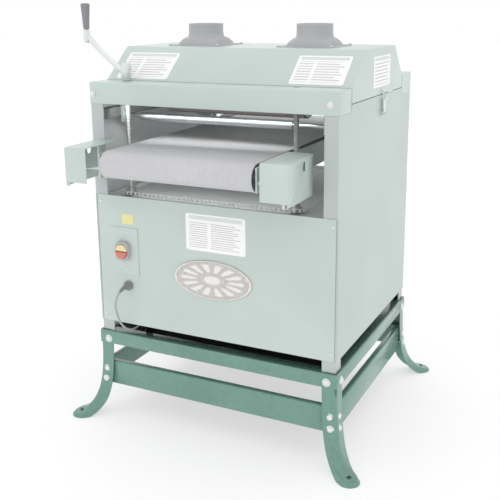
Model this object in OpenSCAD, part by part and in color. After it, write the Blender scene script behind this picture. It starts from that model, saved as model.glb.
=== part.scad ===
// Twin-drum abrasive thickness planer on a bolted steel stand.
// Origin on the floor at the centre of the foot-bolt pattern: X right, Y back, Z up. Millimetres.

/* [Stand] */
// Height of the stand, floor to the machine's feet
stand_h = 245; // [220:5:270]
// Thickness of the stand's pressed sheet
stand_t = 3; // [2.5:0.5:4]
// Width of a leg's flange
leg_flange = 38; // [34:1:42]
// Outward flick of a leg's corner at the floor
leg_flick = 57; // [50:1:60]
// Height over which the flick dies away
leg_fade = 46; // [40:1:50]
// Height of the top rails' face
top_rail_h = 36.5; // [30:0.5:42]
// Height of the lower rails' face
lower_rail_h = 66.5; // [50:0.5:75]
// Radius of the round end of a foot
foot_r = 26; // [22:1:30]
// Radius of the hole for a floor bolt
foot_hole_r = 5.5; // [4:0.5:7]

/* [Cabinet] */
// Width of the cabinet
cab_w = 670; // [660:5:690]
// Depth of the cabinet
cab_d = 574; // [560:2:600]
// Thickness of the cabinet's sheet
sheet_t = 2; // [1.5:0.5:2.5]
// Width of a corner post's flange
post_w = 35; // [30:1:38]
// Height of the feet that show below the panels
foot_gap = 28.5; // [24:0.5:32]
// Height of the front panel
front_panel_h = 348; // [330:1:350]
// Height of a head beam
beam_h = 54; // [50:1:58]
// Height of the head beams' top above the machine's feet
ledge_h = 665; // [655:5:680]
// Depth of the ledge in front of the hood
ledge_d = 74; // [70:1:78]

/* [Hood] */
// Height of the hood above the ledge
hood_h = 80.5; // [70:0.5:90]
// Front end of the hood's flat top
hood_top_y0 = -115; // [-125:1:-105]
// Rear end of the hood's flat top
hood_top_y1 = 128; // [120:1:136]
// Depth of the side skirts below the ledge
skirt_h = 35; // [25:1:38]
// Half the distance between the dust ports
port_x = 158; // [150:1:165]
// Outer radius of a dust port's spigot at its foot
port_r = 48.5; // [46:0.5:50]
// Outer radius of a dust port's spigot at its mouth
port_mouth_r = 46.5; // [45:0.5:50]
// Inner radius of a dust port's spigot
port_bore_r = 43; // [40:0.5:44]
// Height of a dust port above the hood
port_h = 57; // [52:1:64]
// Side of a dust port's square flange
port_flange = 155; // [150:1:170]

/* [Sanding head] */
// Radius of a drum with its abrasive
drum_r = 51; // [48:1:52]
// Height of the drum shafts above the machine's feet
drum_h = 623; // [620:1:628]
// Place of the front drum's shaft, along Y
front_drum_y = -80; // [-84:1:-76]
// Place of the rear drum's shaft, along Y
rear_drum_y = 65; // [60:1:70]
// Radius of a pressure roller
press_r = 11; // [9:1:12]

/* [Feed table] */
// Width of the feed belt
belt_w = 402; // [400:1:406]
// Centre of the feed belt, along X
belt_x = -22; // [-23:1:-19]
// Radius of a feed roller
feed_r = 30; // [28:1:30]
// Distance from the machine's middle to a feed roller
feed_y = 381.5; // [375:0.5:385]
// Height of the feed rollers' axles above the machine's feet
feed_h = 479.5; // [478:0.5:482]
// Thickness of the feed belt
belt_t = 2.5; // [2:0.5:3]

/* [Table lift] */
// Centre line of the lead screws on the left
screw_xl = -260; // [-262:1:-258]
// Centre line of the lead screws on the right
screw_xr = 208; // [206:1:210]
// Distance from the machine's middle to a lead screw
screw_y = 231; // [228:1:233]
// Radius of a lead screw
screw_r = 6.5; // [6:0.5:7]
// Length of the crank's arm, centre to centre, seen from above
crank_reach = 117; // [110:1:120]
// Rise of the crank's arm
crank_rise = 94; // [92:1:98]

/* [Hidden] */

$fn = 48;
fit = 0.05;                 // radial clearance of a running fit
gap = 0.5;                  // air between sheets that move past each other

machine_paint = [0.78, 0.85, 0.83];
stand_paint = [0.44, 0.59, 0.53];
inner_grey = [0.62, 0.64, 0.64];
steel = [0.80, 0.81, 0.82];
dark = [0.22, 0.23, 0.24];

// Cabinet faces and levels
hx = cab_w / 2;
hy = cab_d / 2;
z_foot = stand_h;
z_panel = z_foot + foot_gap;
z_front = z_panel + front_panel_h;
z_ledge = z_foot + ledge_h;
z_beam = z_ledge - beam_h;
z_skirt = z_ledge - skirt_h;
z_hood = z_ledge + hood_h;
z_deck = z_front - 9.5;
y_ledge = -hy + ledge_d;
rear_ledge_d = ledge_d + 14;
y_rear_ledge = hy - rear_ledge_d;

// Stand faces: the rails lie outside the legs
rail_x = hx + 4.7;
rail_y = hy + 5.4;
leg_x = rail_x - stand_t;
leg_y = rail_y - stand_t;
z_lower = 157;
z_pan = z_foot - stand_t - 0.2;
z_shelf = z_panel + 18;
foot_x = 387;
foot_y = 332;
foot_t = 8;
port_waist = 22;
port_taper = 10;

// Sanding head
z_drum = z_foot + drum_h;
bearing_x = hx - 19;
pulley_x0 = 262;
pulley_w = 24;
drum_pulley_r = 34;
motor_pulley_r = 40;
motor_y = 0;
z_motor = z_foot + 160;
press_y = 186;
z_press = z_foot + 570;
press_x0 = -296;
press_x1 = 264;

// Feed table
z_feed = z_foot + feed_h;
belt_in_r = feed_r + 0.4;
belt_out_r = belt_in_r + belt_t;
z_belt = z_feed + belt_out_r;
belt_x0 = belt_x - belt_w / 2;
belt_x1 = belt_x + belt_w / 2;
side_t = 4;
side_l = belt_x0 - 5 - side_t;
side_r = belt_x1 + 5;
axle_r = 8;

// Covers over the ends of the front roller
cover_top = z_foot + 521;
cover_front = -421;
cover_len = 153;
left_cover_x = -321;
right_cover_x = 266;
cover_w = 64;
cover_t = 1.5;

// Lift: chain pitch circle is outside the sprockets' tips
z_chain = z_foot + 377;
sprocket_r = 17.5;
sprocket_teeth = 9;
chain_in_r = sprocket_r + 0.6;
chain_out_r = chain_in_r + 6;
screws = [[screw_xl, -screw_y], [screw_xr, -screw_y], [screw_xl, screw_y], [screw_xr, screw_y]];

// Hinge of the hood, on the rear beam
hinge_y = y_rear_ledge + 4;
hinge_z = z_ledge + 5.4;
hinge_r = 4.6;
hinge_pin_r = 2.5;
hinge_xs = [-180, 180];

// Latches, one on each side
latch_y = 18;
latch_z = 829;

// Control plate and switch
switch_x = -251;
switch_z = 478;
front_face = -hy;
gland_x = -243;
gland_z = 382;
lead_r = 2.9;
pan_gland = [-232, -244];

// Route of the power lead: out of the front gland, down, under the panel and up to the base pan
lead_route = [[-244, -303, 382], [-244, -310, 381.5], [-245, -318, 379], [-247, -325, 374],
    [-250, -329, 367], [-253, -331, 358], [-256, -331, 348], [-259, -329, 338],
    [-261, -326, 328], [-262, -322, 318], [-262, -319, 308], [-261, -316, 298],
    [-260, -313, 288], [-258, -308, 278], [-255, -301, 268], [-251, -291, 259],
    [-246, -279, 255], [-241, -267, 256], [-237, -257, 261], [-234, -249, 269],
    [-232, -245, 278], [-232, -244, 287]];

function ellipse(a, b, n = 64) = [for (i = [0 : n - 1]) [a * cos(360 * i / n), b * sin(360 * i / n)]];
function unit(v) = v / norm(v);

// ---------- helpers ----------
// A box from its lowest to its highest corner
module block(lo, hi) {
    translate(lo) cube(hi - lo);
}

// A bar along X with the outline given in (y, z)
module along_x(x0, x1) {
    translate([x0, 0, 0]) rotate([90, 0, 90]) linear_extrude(x1 - x0) children();
}

// A bar along Y with the outline given in (x, z)
module along_y(y0, y1) {
    translate([0, y1, 0]) rotate([90, 0, 0]) linear_extrude(y1 - y0) children();
}

// A round bar along X
module rod_x(x0, x1, y, z, r) {
    translate([x0, y, z]) rotate([0, 90, 0]) cylinder(r = r, h = x1 - x0);
}

// A round bar along Y
module rod_y(y0, y1, x, z, r) {
    translate([x, y0, z]) rotate([-90, 0, 0]) cylinder(r = r, h = y1 - y0);
}

// A flat outline with round corners
module rounded(w, h, r) {
    square([w - 2 * r, h], center = true);
    square([w, h - 2 * r], center = true);
    for (x = [-1, 1], y = [-1, 1]) translate([x * (w / 2 - r), y * (h / 2 - r)]) circle(r);
}

// A slot outline with round ends, upright
module slot_hole(w, h) {
    square([w, h - w], center = true);
    for (s = [-1, 1]) translate([0, s * (h - w) / 2]) circle(w / 2);
}

// ---------- stand ----------
leg_levels = [2, 6, 12, 20, 30, 42, 58, 78, 104, 134, 170, 208, stand_h - stand_t];

// Outward shift of a leg's corner: it grows as an exponential towards the floor
function leg_shift(z) = z > 207 ? 0 : leg_flick * (exp(-z / leg_fade) - exp(-208 / leg_fade));
// Sheet thickness measured level, which grows with the leg's slope
function level_t(z) = stand_t * sqrt(1 + pow(leg_shift(z) / leg_fade, 2));
function leg_ring(z) = let (s = leg_shift(z), x = leg_x + s, y = leg_y + s, t = level_t(z), f = leg_flange)
    [[x, y, z], [x - f, y, z], [x - f, y - t, z], [x - t, y - t, z], [x - t, y - f, z], [x, y - f, z]];

// Pressed angle leg of the rear right corner
module leg_body() {
    n = len(leg_levels);
    top = (n - 1) * 6;
    polyhedron([for (z = leg_levels) each leg_ring(z)], concat(
        [[3, 4, 5], [3, 5, 0], [3, 0, 1], [3, 1, 2]],
        [for (i = [0 : n - 2], k = [0 : 5]) [i * 6 + k, (i + 1) * 6 + (k + 1) % 6, i * 6 + (k + 1) % 6]],
        [for (i = [0 : n - 2], k = [0 : 5]) [i * 6 + k, (i + 1) * 6 + k, (i + 1) * 6 + (k + 1) % 6]],
        [[top + 5, top + 4, top + 3], [top, top + 5, top + 3], [top + 1, top, top + 3],
            [top + 2, top + 1, top + 3]]));
}

// Flat round-ended foot, on the leg's diagonal
module foot() {
    root = leg_x - foot_x + leg_shift(foot_t) - leg_flange;
    linear_extrude(foot_t) {
        translate([foot_x, foot_y]) circle(foot_r);
        polygon([[foot_x - foot_r * sin(45), foot_y + foot_r * sin(45)],
            [foot_x + root - 6, foot_y + 9], [foot_x + root - 6, foot_y + root - 6],
            [foot_x + 9, foot_y + root - 6], [foot_x + foot_r * sin(45), foot_y - foot_r * sin(45)]]);
    }
}

// Bolts as [height, inset from the leg's corner, sheets in front of the leg, sheets in all]
top_bolt = [222, 24, 1, 2];
low_bolts = [[133, 16.5, 0, 2], [103, 16.5, 0, 2]];

// Places its children at stand bolts of the rear right corner, with +Z out of the plate
module at_bolts(bolts) {
    for (b = bolts) {
        side = leg_shift(b[0]);
        out = side + b[2] * stand_t;
        translate([leg_x + side - b[1], leg_y + out, b[0]]) rotate([-90, 0, 0]) children();
        translate([leg_x + out, leg_y + side - b[1], b[0]]) rotate([0, 90, 0]) children();
    }
}

module bolt_holes(bolts) {
    at_bolts(bolts) translate([0, 0, -15]) cylinder(r = 3.2, h = 20);
}

module corner(sx, sy) {
    mirror([sx < 0 ? 1 : 0, 0, 0]) mirror([0, sy < 0 ? 1 : 0, 0]) children();
}

module leg(sx, sy) {
    color(stand_paint) corner(sx, sy) difference() {
        union() {
            leg_body();
            foot();
        }
        translate([foot_x, foot_y, -1]) cylinder(r = foot_hole_r, h = foot_t + 2);
        translate([foot_x, foot_y, foot_t]) cylinder(r = 12, h = 30);
        bolt_holes(concat([top_bolt], low_bolts));
    }
}

// Angle rails round the top of the stand, outside the legs
module top_rails() {
    z0 = stand_h - top_rail_h;
    lip = 33;
    color(stand_paint) difference() {
        union() {
            for (s = [-1, 1]) corner(1, s) {
                block([-rail_x, rail_y - stand_t, z0], [rail_x, rail_y, stand_h]);
                block([-rail_x, rail_y - lip, stand_h - stand_t], [rail_x, rail_y, stand_h]);
            }
            for (s = [-1, 1]) corner(s, 1) {
                block([rail_x - stand_t, -rail_y + stand_t, z0], [rail_x, rail_y - stand_t, stand_h]);
                block([rail_x - lip, -rail_y + stand_t, stand_h - stand_t], [rail_x, rail_y - stand_t, stand_h]);
            }
        }
        for (sx = [-1, 1], sy = [-1, 1]) corner(sx, sy) bolt_holes([top_bolt]);
    }
}

// Outline of a lower rail in (distance out, z): an upright face with a lip along its top
module lower_rail_outline(face) {
    z0 = z_lower - lower_rail_h;
    lip = 16;
    polygon([[face, z_lower], [face, z0], [face - stand_t, z0], [face - stand_t, z_lower - stand_t],
        [face - lip, z_lower - stand_t], [face - lip, z_lower]]);
}

// Outward shift of a lower rail's face from the top of the legs
function rail_shift() = leg_shift(z_lower) - stand_t - 0.2;

// Lower rails, bolted to the inside of the legs
module lower_rails() {
    inner = rail_shift();
    color(stand_paint) difference() {
        union() {
            for (s = [-1, 1]) corner(1, s) along_x(-leg_x + 6, leg_x - 6) lower_rail_outline(leg_y + inner);
            for (s = [-1, 1]) corner(s, 1) along_y(-leg_y + 24, leg_y - 24) lower_rail_outline(leg_x + inner);
        }
        for (sx = [-1, 1], sy = [-1, 1]) corner(sx, sy) bolt_holes(low_bolts);
    }
}

// Domed bolts with their nuts
module stand_bolts() {
    color(steel) for (sx = [-1, 1], sy = [-1, 1]) corner(sx, sy) {
        at_bolts([top_bolt]) stand_bolt(-0.2, -6.2);
        for (b = low_bolts) at_bolts([b])
            stand_bolt(1.2, rail_shift() - stand_t - leg_shift(b[0]) - 0.3);
    }
}

// One bolt: its head seats at z0 and its nut at z1
module stand_bolt(z0, z1) {
    intersection() {
        translate([0, 0, z0 - 4]) sphere(9);
        translate([0, 0, z0 + 0.3]) cylinder(r = 9, h = 9);
    }
    translate([0, 0, z1 - 6.5]) cylinder(r = 3, h = z0 - z1 + 8);
    translate([0, 0, z1 - 5.5]) cylinder(r = 5.8, h = 5.5, $fn = 6);
}

// ---------- cabinet ----------
// Corner post: an angle from the feet up to the head beams
module corner_posts() {
    color(machine_paint) for (sx = [-1, 1], sy = [-1, 1]) corner(sx, sy) difference() {
        block([hx - post_w - sheet_t, hy - post_w - sheet_t, z_foot], [hx - sheet_t, hy - sheet_t, z_beam]);
        block([hx - post_w - 9, hy - post_w - 9, z_foot - 1], [hx - sheet_t - 3, hy - sheet_t - 3, z_beam + 1]);
    }
}

// Head beam: a channel with its front wall, its ledge and its inner lip
module head_beam(depth) {
    t = 3;
    difference() {
        block([-hx, 0, z_beam], [hx, depth, z_ledge]);
        block([-hx + t, t, z_beam - 1], [hx - t, depth - t, z_ledge - t]);
        block([-hx + t, depth - t - 1, z_beam - 1], [hx - t, depth + 1, z_ledge - 22]);
    }
}

module front_beam() {
    color(machine_paint) difference() {
        translate([0, -hy, 0]) head_beam(ledge_d);
        for (p = [screws[0], screws[1]]) translate([p[0], p[1], z_ledge - 10]) cylinder(r = 9, h = 20);
    }
}

// The rear beam carries the fixed knuckles and pins of the hood's hinges
module rear_beam() {
    color(machine_paint) {
        difference() {
            mirror([0, 1, 0]) translate([0, -hy, 0]) head_beam(rear_ledge_d);
            for (p = [screws[2], screws[3]]) translate([p[0], p[1], z_ledge - 10]) cylinder(r = 9, h = 20);
        }
        for (x = hinge_xs) {
            rod_x(x - 13, x + 13, hinge_y, hinge_z, hinge_r);
            rod_x(x - 32, x + 32, hinge_y, hinge_z, hinge_pin_r);
            block([x - 13, hinge_y, z_ledge - 1], [x + 13, hinge_y + 22, z_ledge + 2]);
            block([x - 13, hinge_y - 2, z_ledge - 1], [x + 13, hinge_y + 2, hinge_z]);
        }
    }
}

module chain_deck() {
    color(inner_grey) difference() {
        block([-hx + 5, -hy + 5, z_deck - 3], [hx - 5, hy - 5, z_deck]);
        for (sx = [-1, 1], sy = [-1, 1]) corner(sx, sy)
            block([hx - post_w - 3, hy - post_w - 3, z_deck - 4], [hx, hy, z_deck + 1]);
        for (p = screws) translate([p[0], p[1], z_deck - 4]) cylinder(r = 12, h = 6);
        block([pulley_x0 - 8, -105, z_deck - 4], [pulley_x0 + pulley_w + 8, 95, z_deck + 1]);
    }
}

// Pan under the rails' lips, with the bracket that holds the lower gland behind the front panel
module base_pan() {
    x1 = pan_gland[0] + 18;
    y = [pan_gland[1] - 13, pan_gland[1] + 16];
    color(dark) difference() {
        union() {
            block([-hx + 5, -hy + 5, z_pan - 2.6], [hx - 5, hy - 5, z_pan]);
            block([x1 - 3, y[0], z_pan - 1], [x1, y[1], z_shelf]);
            block([pan_gland[0] - 22, y[0], z_shelf - 2], [x1, y[1], z_shelf]);
        }
        translate([pan_gland[0], pan_gland[1], z_panel]) cylinder(r = 8, h = 40);
    }
}

module front_panel() {
    color(machine_paint) difference() {
        block([-hx, -hy, z_panel], [hx, -hy + sheet_t, z_front]);
        rod_y(-hy - 1, -hy + 10, gland_x, gland_z, 9);
        for (x = [-318, 322]) for (z = [z_panel + 20, z_front - 18])
            rod_y(-hy - 1, -hy + 10, x, z, 3.2);
    }
}

module rear_panel() {
    color(machine_paint) difference() {
        block([-hx, hy - sheet_t, z_panel], [hx, hy, z_front]);
        for (i = [0 : 7]) block([-100, hy - 5, z_panel + 60 + i * 14], [100, hy + 1, z_panel + 65 + i * 14]);
    }
}

// Side panel, cut away along its top for the hood's skirt
module side_panel(s) {
    color(machine_paint) mirror([s < 0 ? 1 : 0, 0, 0]) {
        along_x(hx - sheet_t, hx) polygon([[-hy + sheet_t, z_panel], [hy - sheet_t, z_panel],
            [hy - sheet_t, z_beam], [y_rear_ledge - 2, z_beam], [y_rear_ledge - 2, z_skirt - 2],
            [y_ledge + 2, z_skirt - 2], [y_ledge + 2, z_beam], [-hy + sheet_t, z_beam]]);
        block([hx - 0.5, latch_y - 11, latch_z - 8], [hx + 1.5, latch_y + 11, latch_z + 30]);
        difference() {
            for (d = [-1, 1]) block([hx, latch_y + d * 9.5 - 1.5, latch_z - 5], [hx + 9, latch_y + d * 9.5 + 1.5, latch_z + 5]);
            rod_y(latch_y - 20, latch_y + 20, hx + 5, latch_z, 2 + fit);
        }
    }
}

// Domed screws of the front panel and of the head beam
module panel_screws() {
    color(steel) {
        for (x = [-318, 322], z = [z_panel + 20, z_front - 18]) dome_screw(x, z, 3);
        for (x = [-325, 312]) dome_screw(x, z_ledge - 30, 0);
    }
}

// A screw in the front face; its shank goes depth millimetres in
module dome_screw(x, z, depth) {
    translate([x, -hy, z]) rotate([90, 0, 0]) {
        intersection() {
            translate([0, 0, -4.5]) sphere(8);
            cylinder(r = 9, h = 9);
        }
        if (depth > 0) translate([0, 0, -sheet_t]) cylinder(r = 3, h = depth);
    }
}

module control_plate() {
    color(machine_paint) difference() {
        block([-294, front_face - 2, 411], [-208, front_face, 539]);
        for (p = [[-241.5, 520], [-241.5, 428]]) rod_y(front_face - 3, front_face + 1, p[0], p[1], 2);
    }
}

// Round-cornered switch housing with a well for the button and a fork for the paddle
module switch_housing() {
    y0 = front_face - 2;
    color(dark) difference() {
        along_y(y0 - 14, y0) translate([switch_x, switch_z]) rounded(40, 50, 8);
        along_y(y0 - 20, y0 - 6) translate([switch_x, switch_z + 13]) circle(11.5);
        along_y(y0 - 20, y0 - 8) translate([switch_x, switch_z - 12]) rounded(34, 26, 4);
    }
}

module start_button() {
    y0 = front_face - 2;
    color([0.86, 0.80, 0.35]) {
        along_y(y0 - 17, y0 - 9.5) translate([switch_x, switch_z + 13]) circle(10.8);
    }
}

module stop_paddle() {
    y0 = front_face - 2;
    color([0.75, 0.25, 0.20]) {
        along_y(y0 - 19, y0 - 12.5) translate([switch_x, switch_z - 12]) rounded(32, 24, 4);
        rod_x(switch_x - 15, switch_x + 15, y0 - 13.5, switch_z - 2.5, 2.5);
    }
}

module cable_glands() {
    color(dark) {
        difference() {
            union() {
                rod_y(front_face - 16, front_face - 6, gland_x, gland_z, 9);
                rod_y(front_face - 6, front_face, gland_x, gland_z, 13);
                rod_y(front_face, front_face + 14, gland_x, gland_z, 8.5);
            }
            rod_y(front_face - 20, front_face + 20, gland_x, gland_z, lead_r + 0.6);
        }
        translate([pan_gland[0], pan_gland[1], z_shelf]) difference() {
            union() {
                translate([0, 0, -4.5]) cylinder(r = 7.5, h = 18);
                cylinder(r = 12, h = 5);
            }
            translate([0, 0, -6]) cylinder(r = lead_r + 0.6, h = 22);
        }
    }
}

// The lead's tube: a ring of sides square to the route at each of its points
lead_sides = 10;
function route_dir(p, i) = unit(p[min(i + 1, len(p) - 1)] - p[max(i - 1, 0)]);
function route_ring(p, i, r) = let (d = route_dir(p, i), u = unit(cross(d, [1, 0, 0])), v = cross(d, u))
    [for (k = [0 : lead_sides - 1]) p[i] + r * (cos(360 * k / lead_sides) * u + sin(360 * k / lead_sides) * v)];

module power_lead() {
    n = len(lead_route);
    s = lead_sides;
    color([0.75, 0.75, 0.75]) polyhedron([for (i = [0 : n - 1]) each route_ring(lead_route, i, lead_r)], concat(
        [[for (k = [0 : s - 1]) k]],
        [for (i = [0 : n - 2], k = [0 : s - 1]) [i * s + k, (i + 1) * s + k, (i + 1) * s + (k + 1) % s]],
        [for (i = [0 : n - 2], k = [0 : s - 1]) [i * s + k, (i + 1) * s + (k + 1) % s, i * s + (k + 1) % s]],
        [[for (k = [s - 1 : -1 : 0]) (n - 1) * s + k]]));
}

// Oval badge with a raised rim, left blank
module badge_plate() {
    color([0.55, 0.52, 0.45]) translate([8, front_face, 432]) rotate([90, 0, 0]) {
        linear_extrude(3) polygon(ellipse(110, 51));
        linear_extrude(5) difference() {
            polygon(ellipse(110, 51));
            polygon(ellipse(104, 45));
        }
    }
}

// Blank plates on the front panel: a data plate and a small one above the switch
module label_plates() {
    color([0.95, 0.95, 0.93]) block([-64.5, front_face - 0.8, 504], [100.5, front_face, 598.5]);
    color([0.93, 0.90, 0.70]) along_y(front_face - 0.8, front_face)
        translate([-237.5, 562]) rounded(36, 26, 5);
}

// ---------- sanding head ----------
// Cross rails along the sides with a pillow block under each end of each drum shaft
module drum_bearings() {
    shaft_r = 12;
    color(inner_grey) for (s = [-1, 1]) {
        block([s * bearing_x - 14, -hy + 5, z_drum - 53], [s * bearing_x + 14, hy - 5, z_drum - 28]);
        for (y = [front_drum_y, rear_drum_y]) difference() {
            union() {
                block([s * bearing_x - 13, y - 48, z_drum - 28], [s * bearing_x + 13, y + 48, z_drum - 14]);
                rod_x(s * bearing_x - 13, s * bearing_x + 13, y, z_drum, 27);
            }
            rod_x(s * bearing_x - 20, s * bearing_x + 20, y, z_drum, shaft_r + fit);
        }
    }
}

// Drum core with its shaft; the pulley is on the right
module drum_core(y) {
    color([0.72, 0.72, 0.70]) {
        rod_x(belt_x0, belt_x1, y, z_drum, drum_r - 3);
        rod_x(-bearing_x - 13, bearing_x + 13, y, z_drum, 12);
        pulley(y, z_drum, drum_pulley_r);
    }
}

// Grooved pulley on the drive side
module pulley(y, z, r) {
    translate([pulley_x0, y, z]) rotate([0, 90, 0]) rotate_extrude() polygon([[0, 0], [r + 4, 0],
        [r + 4, 2.5], [r - 5, 5], [r - 5, pulley_w - 5], [r + 4, pulley_w - 2.5], [r + 4, pulley_w], [0, pulley_w]]);
}

// Abrasive strip on a drum
module abrasive(y) {
    color([0.45, 0.36, 0.30]) difference() {
        rod_x(belt_x0 + 2, belt_x1 - 2, y, z_drum, drum_r);
        rod_x(belt_x0 - 2, belt_x1 + 2, y, z_drum, drum_r - 3);
    }
}

module drive_belt() {
    r0 = -4.5;
    t = 5;
    spots = [[front_drum_y, z_drum, drum_pulley_r], [rear_drum_y, z_drum, drum_pulley_r],
        [motor_y, z_motor, motor_pulley_r]];
    color(dark) along_x(pulley_x0 + 5.5, pulley_x0 + pulley_w - 5.5) difference() {
        hull() for (p = spots) translate([p[0], p[1]]) circle(p[2] + r0 + t);
        hull() for (p = spots) translate([p[0], p[1]]) circle(p[2] + r0);
    }
}

module motor_pulley() {
    color(steel) {
        difference() {
            pulley(motor_y, z_motor, motor_pulley_r);
            rod_x(pulley_x0 - 1, pulley_x0 + pulley_w + 1, motor_y, z_motor, 10);
        }
        rod_x(232 + gap, pulley_x0 + pulley_w + 4, motor_y, z_motor, 10);
    }
}

module drum_motor() {
    color(inner_grey) {
        rod_x(-40, 232, motor_y, z_motor, 78);
        rod_x(-70, -40, motor_y, z_motor, 70);
        for (i = [0 : 11]) rotate_about_motor(i * 30) block([-30, -3, 74], [200, 3, 86]);
        block([20, motor_y - 40, z_motor + 60], [110, motor_y + 40, z_motor + 104]);
        for (x = [10, 160]) block([x, motor_y - 75, z_motor - 92], [x + 40, motor_y + 75, z_motor - 60]);
    }
}

module rotate_about_motor(a) {
    translate([0, motor_y, z_motor]) rotate([a, 0, 0]) children();
}

module motor_plate() {
    color(inner_grey) {
        block([-20, motor_y - 100, z_motor - 100], [230, motor_y + 100, z_motor - 92]);
        for (y = [-98, 94]) block([-10, motor_y + y, z_pan], [220, motor_y + y + 4, z_motor - 100]);
    }
}

// Pressure roller with its journals
module pressure_roller(y) {
    color(steel) {
        rod_x(belt_x0 - 26, belt_x1 + 2, y, z_press, press_r);
        rod_x(press_x0 - 4, press_x1 + 4, y, z_press, 6);
    }
}

// Hanging plates at both ends of each pressure roller, on the side rails
module roller_brackets() {
    color(machine_paint) for (y = [-press_y, press_y]) difference() {
        union() {
            block([-bearing_x + 14, y - 16, z_press - 16], [-bearing_x + 18, y + 16, z_drum - 26]);
            block([press_x1, y - 16, z_press - 16], [press_x1 + 4, y + 16, z_drum - 26]);
            block([press_x1, y - 16, z_drum - 30], [bearing_x - 14, y + 16, z_drum - 26]);
            block([bearing_x - 18, y - 16, z_drum - 50], [bearing_x - 14, y + 16, z_drum - 26]);
            rod_x(press_x0 - 6, press_x0 + 2, y, z_press, 10);
            rod_x(press_x1 - 2, press_x1 + 6, y, z_press, 10);
        }
        rod_x(-hx, hx, y, z_press, 6 + fit);
    }
}

// ---------- hood ----------
// Outline of the hood from the side, in (y, z), shrunk by t
module hood_outline(t) {
    slope_f = atan2(hood_h, hood_top_y0 - y_ledge);
    slope_r = atan2(hood_h, y_rear_ledge - hood_top_y1);
    df = t / sin(slope_f);
    dr = t / sin(slope_r);
    kf = t * tan(slope_f / 2);
    kr = t * tan(slope_r / 2);
    polygon([[y_ledge + gap + df, z_ledge + gap - (t > 0 ? 1 : 0)], [hood_top_y0 + kf, z_hood - t],
        [hood_top_y1 - kr, z_hood - t], [y_rear_ledge - gap - dr, z_ledge + gap - (t > 0 ? 1 : 0)]]);
}

module hood_shell() {
    color(machine_paint) {
        difference() {
            union() {
                along_x(-hx, hx) hood_outline(0);
                for (s = [-1, 1]) corner(s, 1) block([hx - sheet_t, y_ledge + 2, z_skirt],
                    [hx, y_rear_ledge - 2, z_ledge + 4]);
            }
            along_x(-hx + sheet_t, hx - sheet_t) hood_outline(sheet_t);
            for (s = [-1, 1]) translate([s * port_x, (hood_top_y0 + hood_top_y1) / 2, z_hood - 10])
                cylinder(r = port_bore_r, h = 20);
        }
        for (s = [-1, 1]) corner(s, 1) block([hx - 0.5, latch_y - 7, z_skirt + 1], [hx + 2.5, latch_y + 7, z_skirt + 12]);
        for (x = hinge_xs, d = [-1, 1]) hood_knuckle(x + d * 23);
    }
}

// Moving knuckle of the hood's hinge, on a leaf up the rear slope
module hood_knuckle(x) {
    difference() {
        union() {
            rod_x(x - 9, x + 9, hinge_y, hinge_z, hinge_r);
            along_x(x - 9, x + 9) polygon([[hinge_y, hinge_z + hinge_r], [hinge_y - hinge_r, hinge_z],
                [y_rear_ledge - 12, z_ledge + 12], [y_rear_ledge - 12, z_ledge + 17]]);
        }
        rod_x(x - 10, x + 10, hinge_y, hinge_z, hinge_pin_r + fit);
    }
}

// Dust port: square flange, sloping base, round neck and spigot
module dust_port(s) {
    y = (hood_top_y0 + hood_top_y1) / 2;
    color([0.55, 0.56, 0.57]) translate([s * port_x, y, z_hood]) difference() {
        union() {
            translate([0, 0, 1.5]) cube([port_flange, port_flange, 3], center = true);
            translate([0, 0, 3]) linear_extrude(port_waist - 3, scale = 0.83) square(2 * port_r + 20, center = true);
            cylinder(r = port_r, h = port_waist);
            translate([0, 0, port_waist]) cylinder(r1 = port_r, r2 = port_mouth_r, h = port_taper);
            cylinder(r = port_mouth_r, h = port_h);
        }
        translate([0, 0, -1]) cylinder(r = port_bore_r, h = port_h + 2);
    }
}

// Blank plates on the hood: two on the front slope and one on each side
module hood_labels() {
    slope = atan2(hood_h, hood_top_y0 - y_ledge);
    color([0.95, 0.95, 0.93]) {
        for (x = [[-308, -156], [176, 311]]) translate([0, y_ledge + gap, z_ledge + gap])
            rotate([slope, 0, 0]) block([x[0], 6, 0], [x[1], 102, 0.8]);
        block([hx, -55, 894], [hx + 0.8, 82, 970]);
    }
}

// Latch: a lever on a pin with a wire bail up to the strike on the skirt
module latch(s) {
    x = hx + 5;
    color(steel) mirror([s < 0 ? 1 : 0, 0, 0]) {
        rod_y(latch_y - 10.8, latch_y + 10.8, x, latch_z, 2);
        rod_y(latch_y - 7.4, latch_y + 7.4, x, latch_z, 3);
        block([x + 1, latch_y - 7, latch_z], [x + 3.5, latch_y + 7, latch_z + 36]);
        block([x + 1, latch_y - 7, latch_z + 33], [x + 8, latch_y + 7, latch_z + 36]);
        for (d = [-1, 1]) block([x - 0.5, latch_y + d * 5.5 - 1, latch_z + 14], [x + 1.5, latch_y + d * 5.5 + 1, latch_z + 56]);
        block([x - 0.5, latch_y - 6.5, latch_z + 54], [x + 1.5, latch_y + 6.5, latch_z + 56]);
    }
}

// ---------- feed table ----------
// Outline of a band round both feed rollers, in (y, z)
module band(r) {
    translate([-feed_y, z_feed - r]) square([2 * feed_y, 2 * r]);
    for (s = [-1, 1]) translate([s * feed_y, z_feed]) circle(r, $fn = 96);
}

module feed_belt() {
    color([0.62, 0.62, 0.63]) along_x(belt_x0, belt_x1) difference() {
        band(belt_out_r);
        band(belt_in_r);
    }
}

module table_bed() {
    color(inner_grey) {
        block([belt_x0 + 2, -feed_y + 38, z_feed + belt_in_r - 6], [belt_x1 - 2, feed_y - 38, z_feed + belt_in_r - 0.2]);
        for (y = [-250, 0, 250]) block([side_l + side_t, y - 15, z_feed + 2], [side_r, y + 15, z_feed + belt_in_r - 6]);
    }
}

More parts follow.
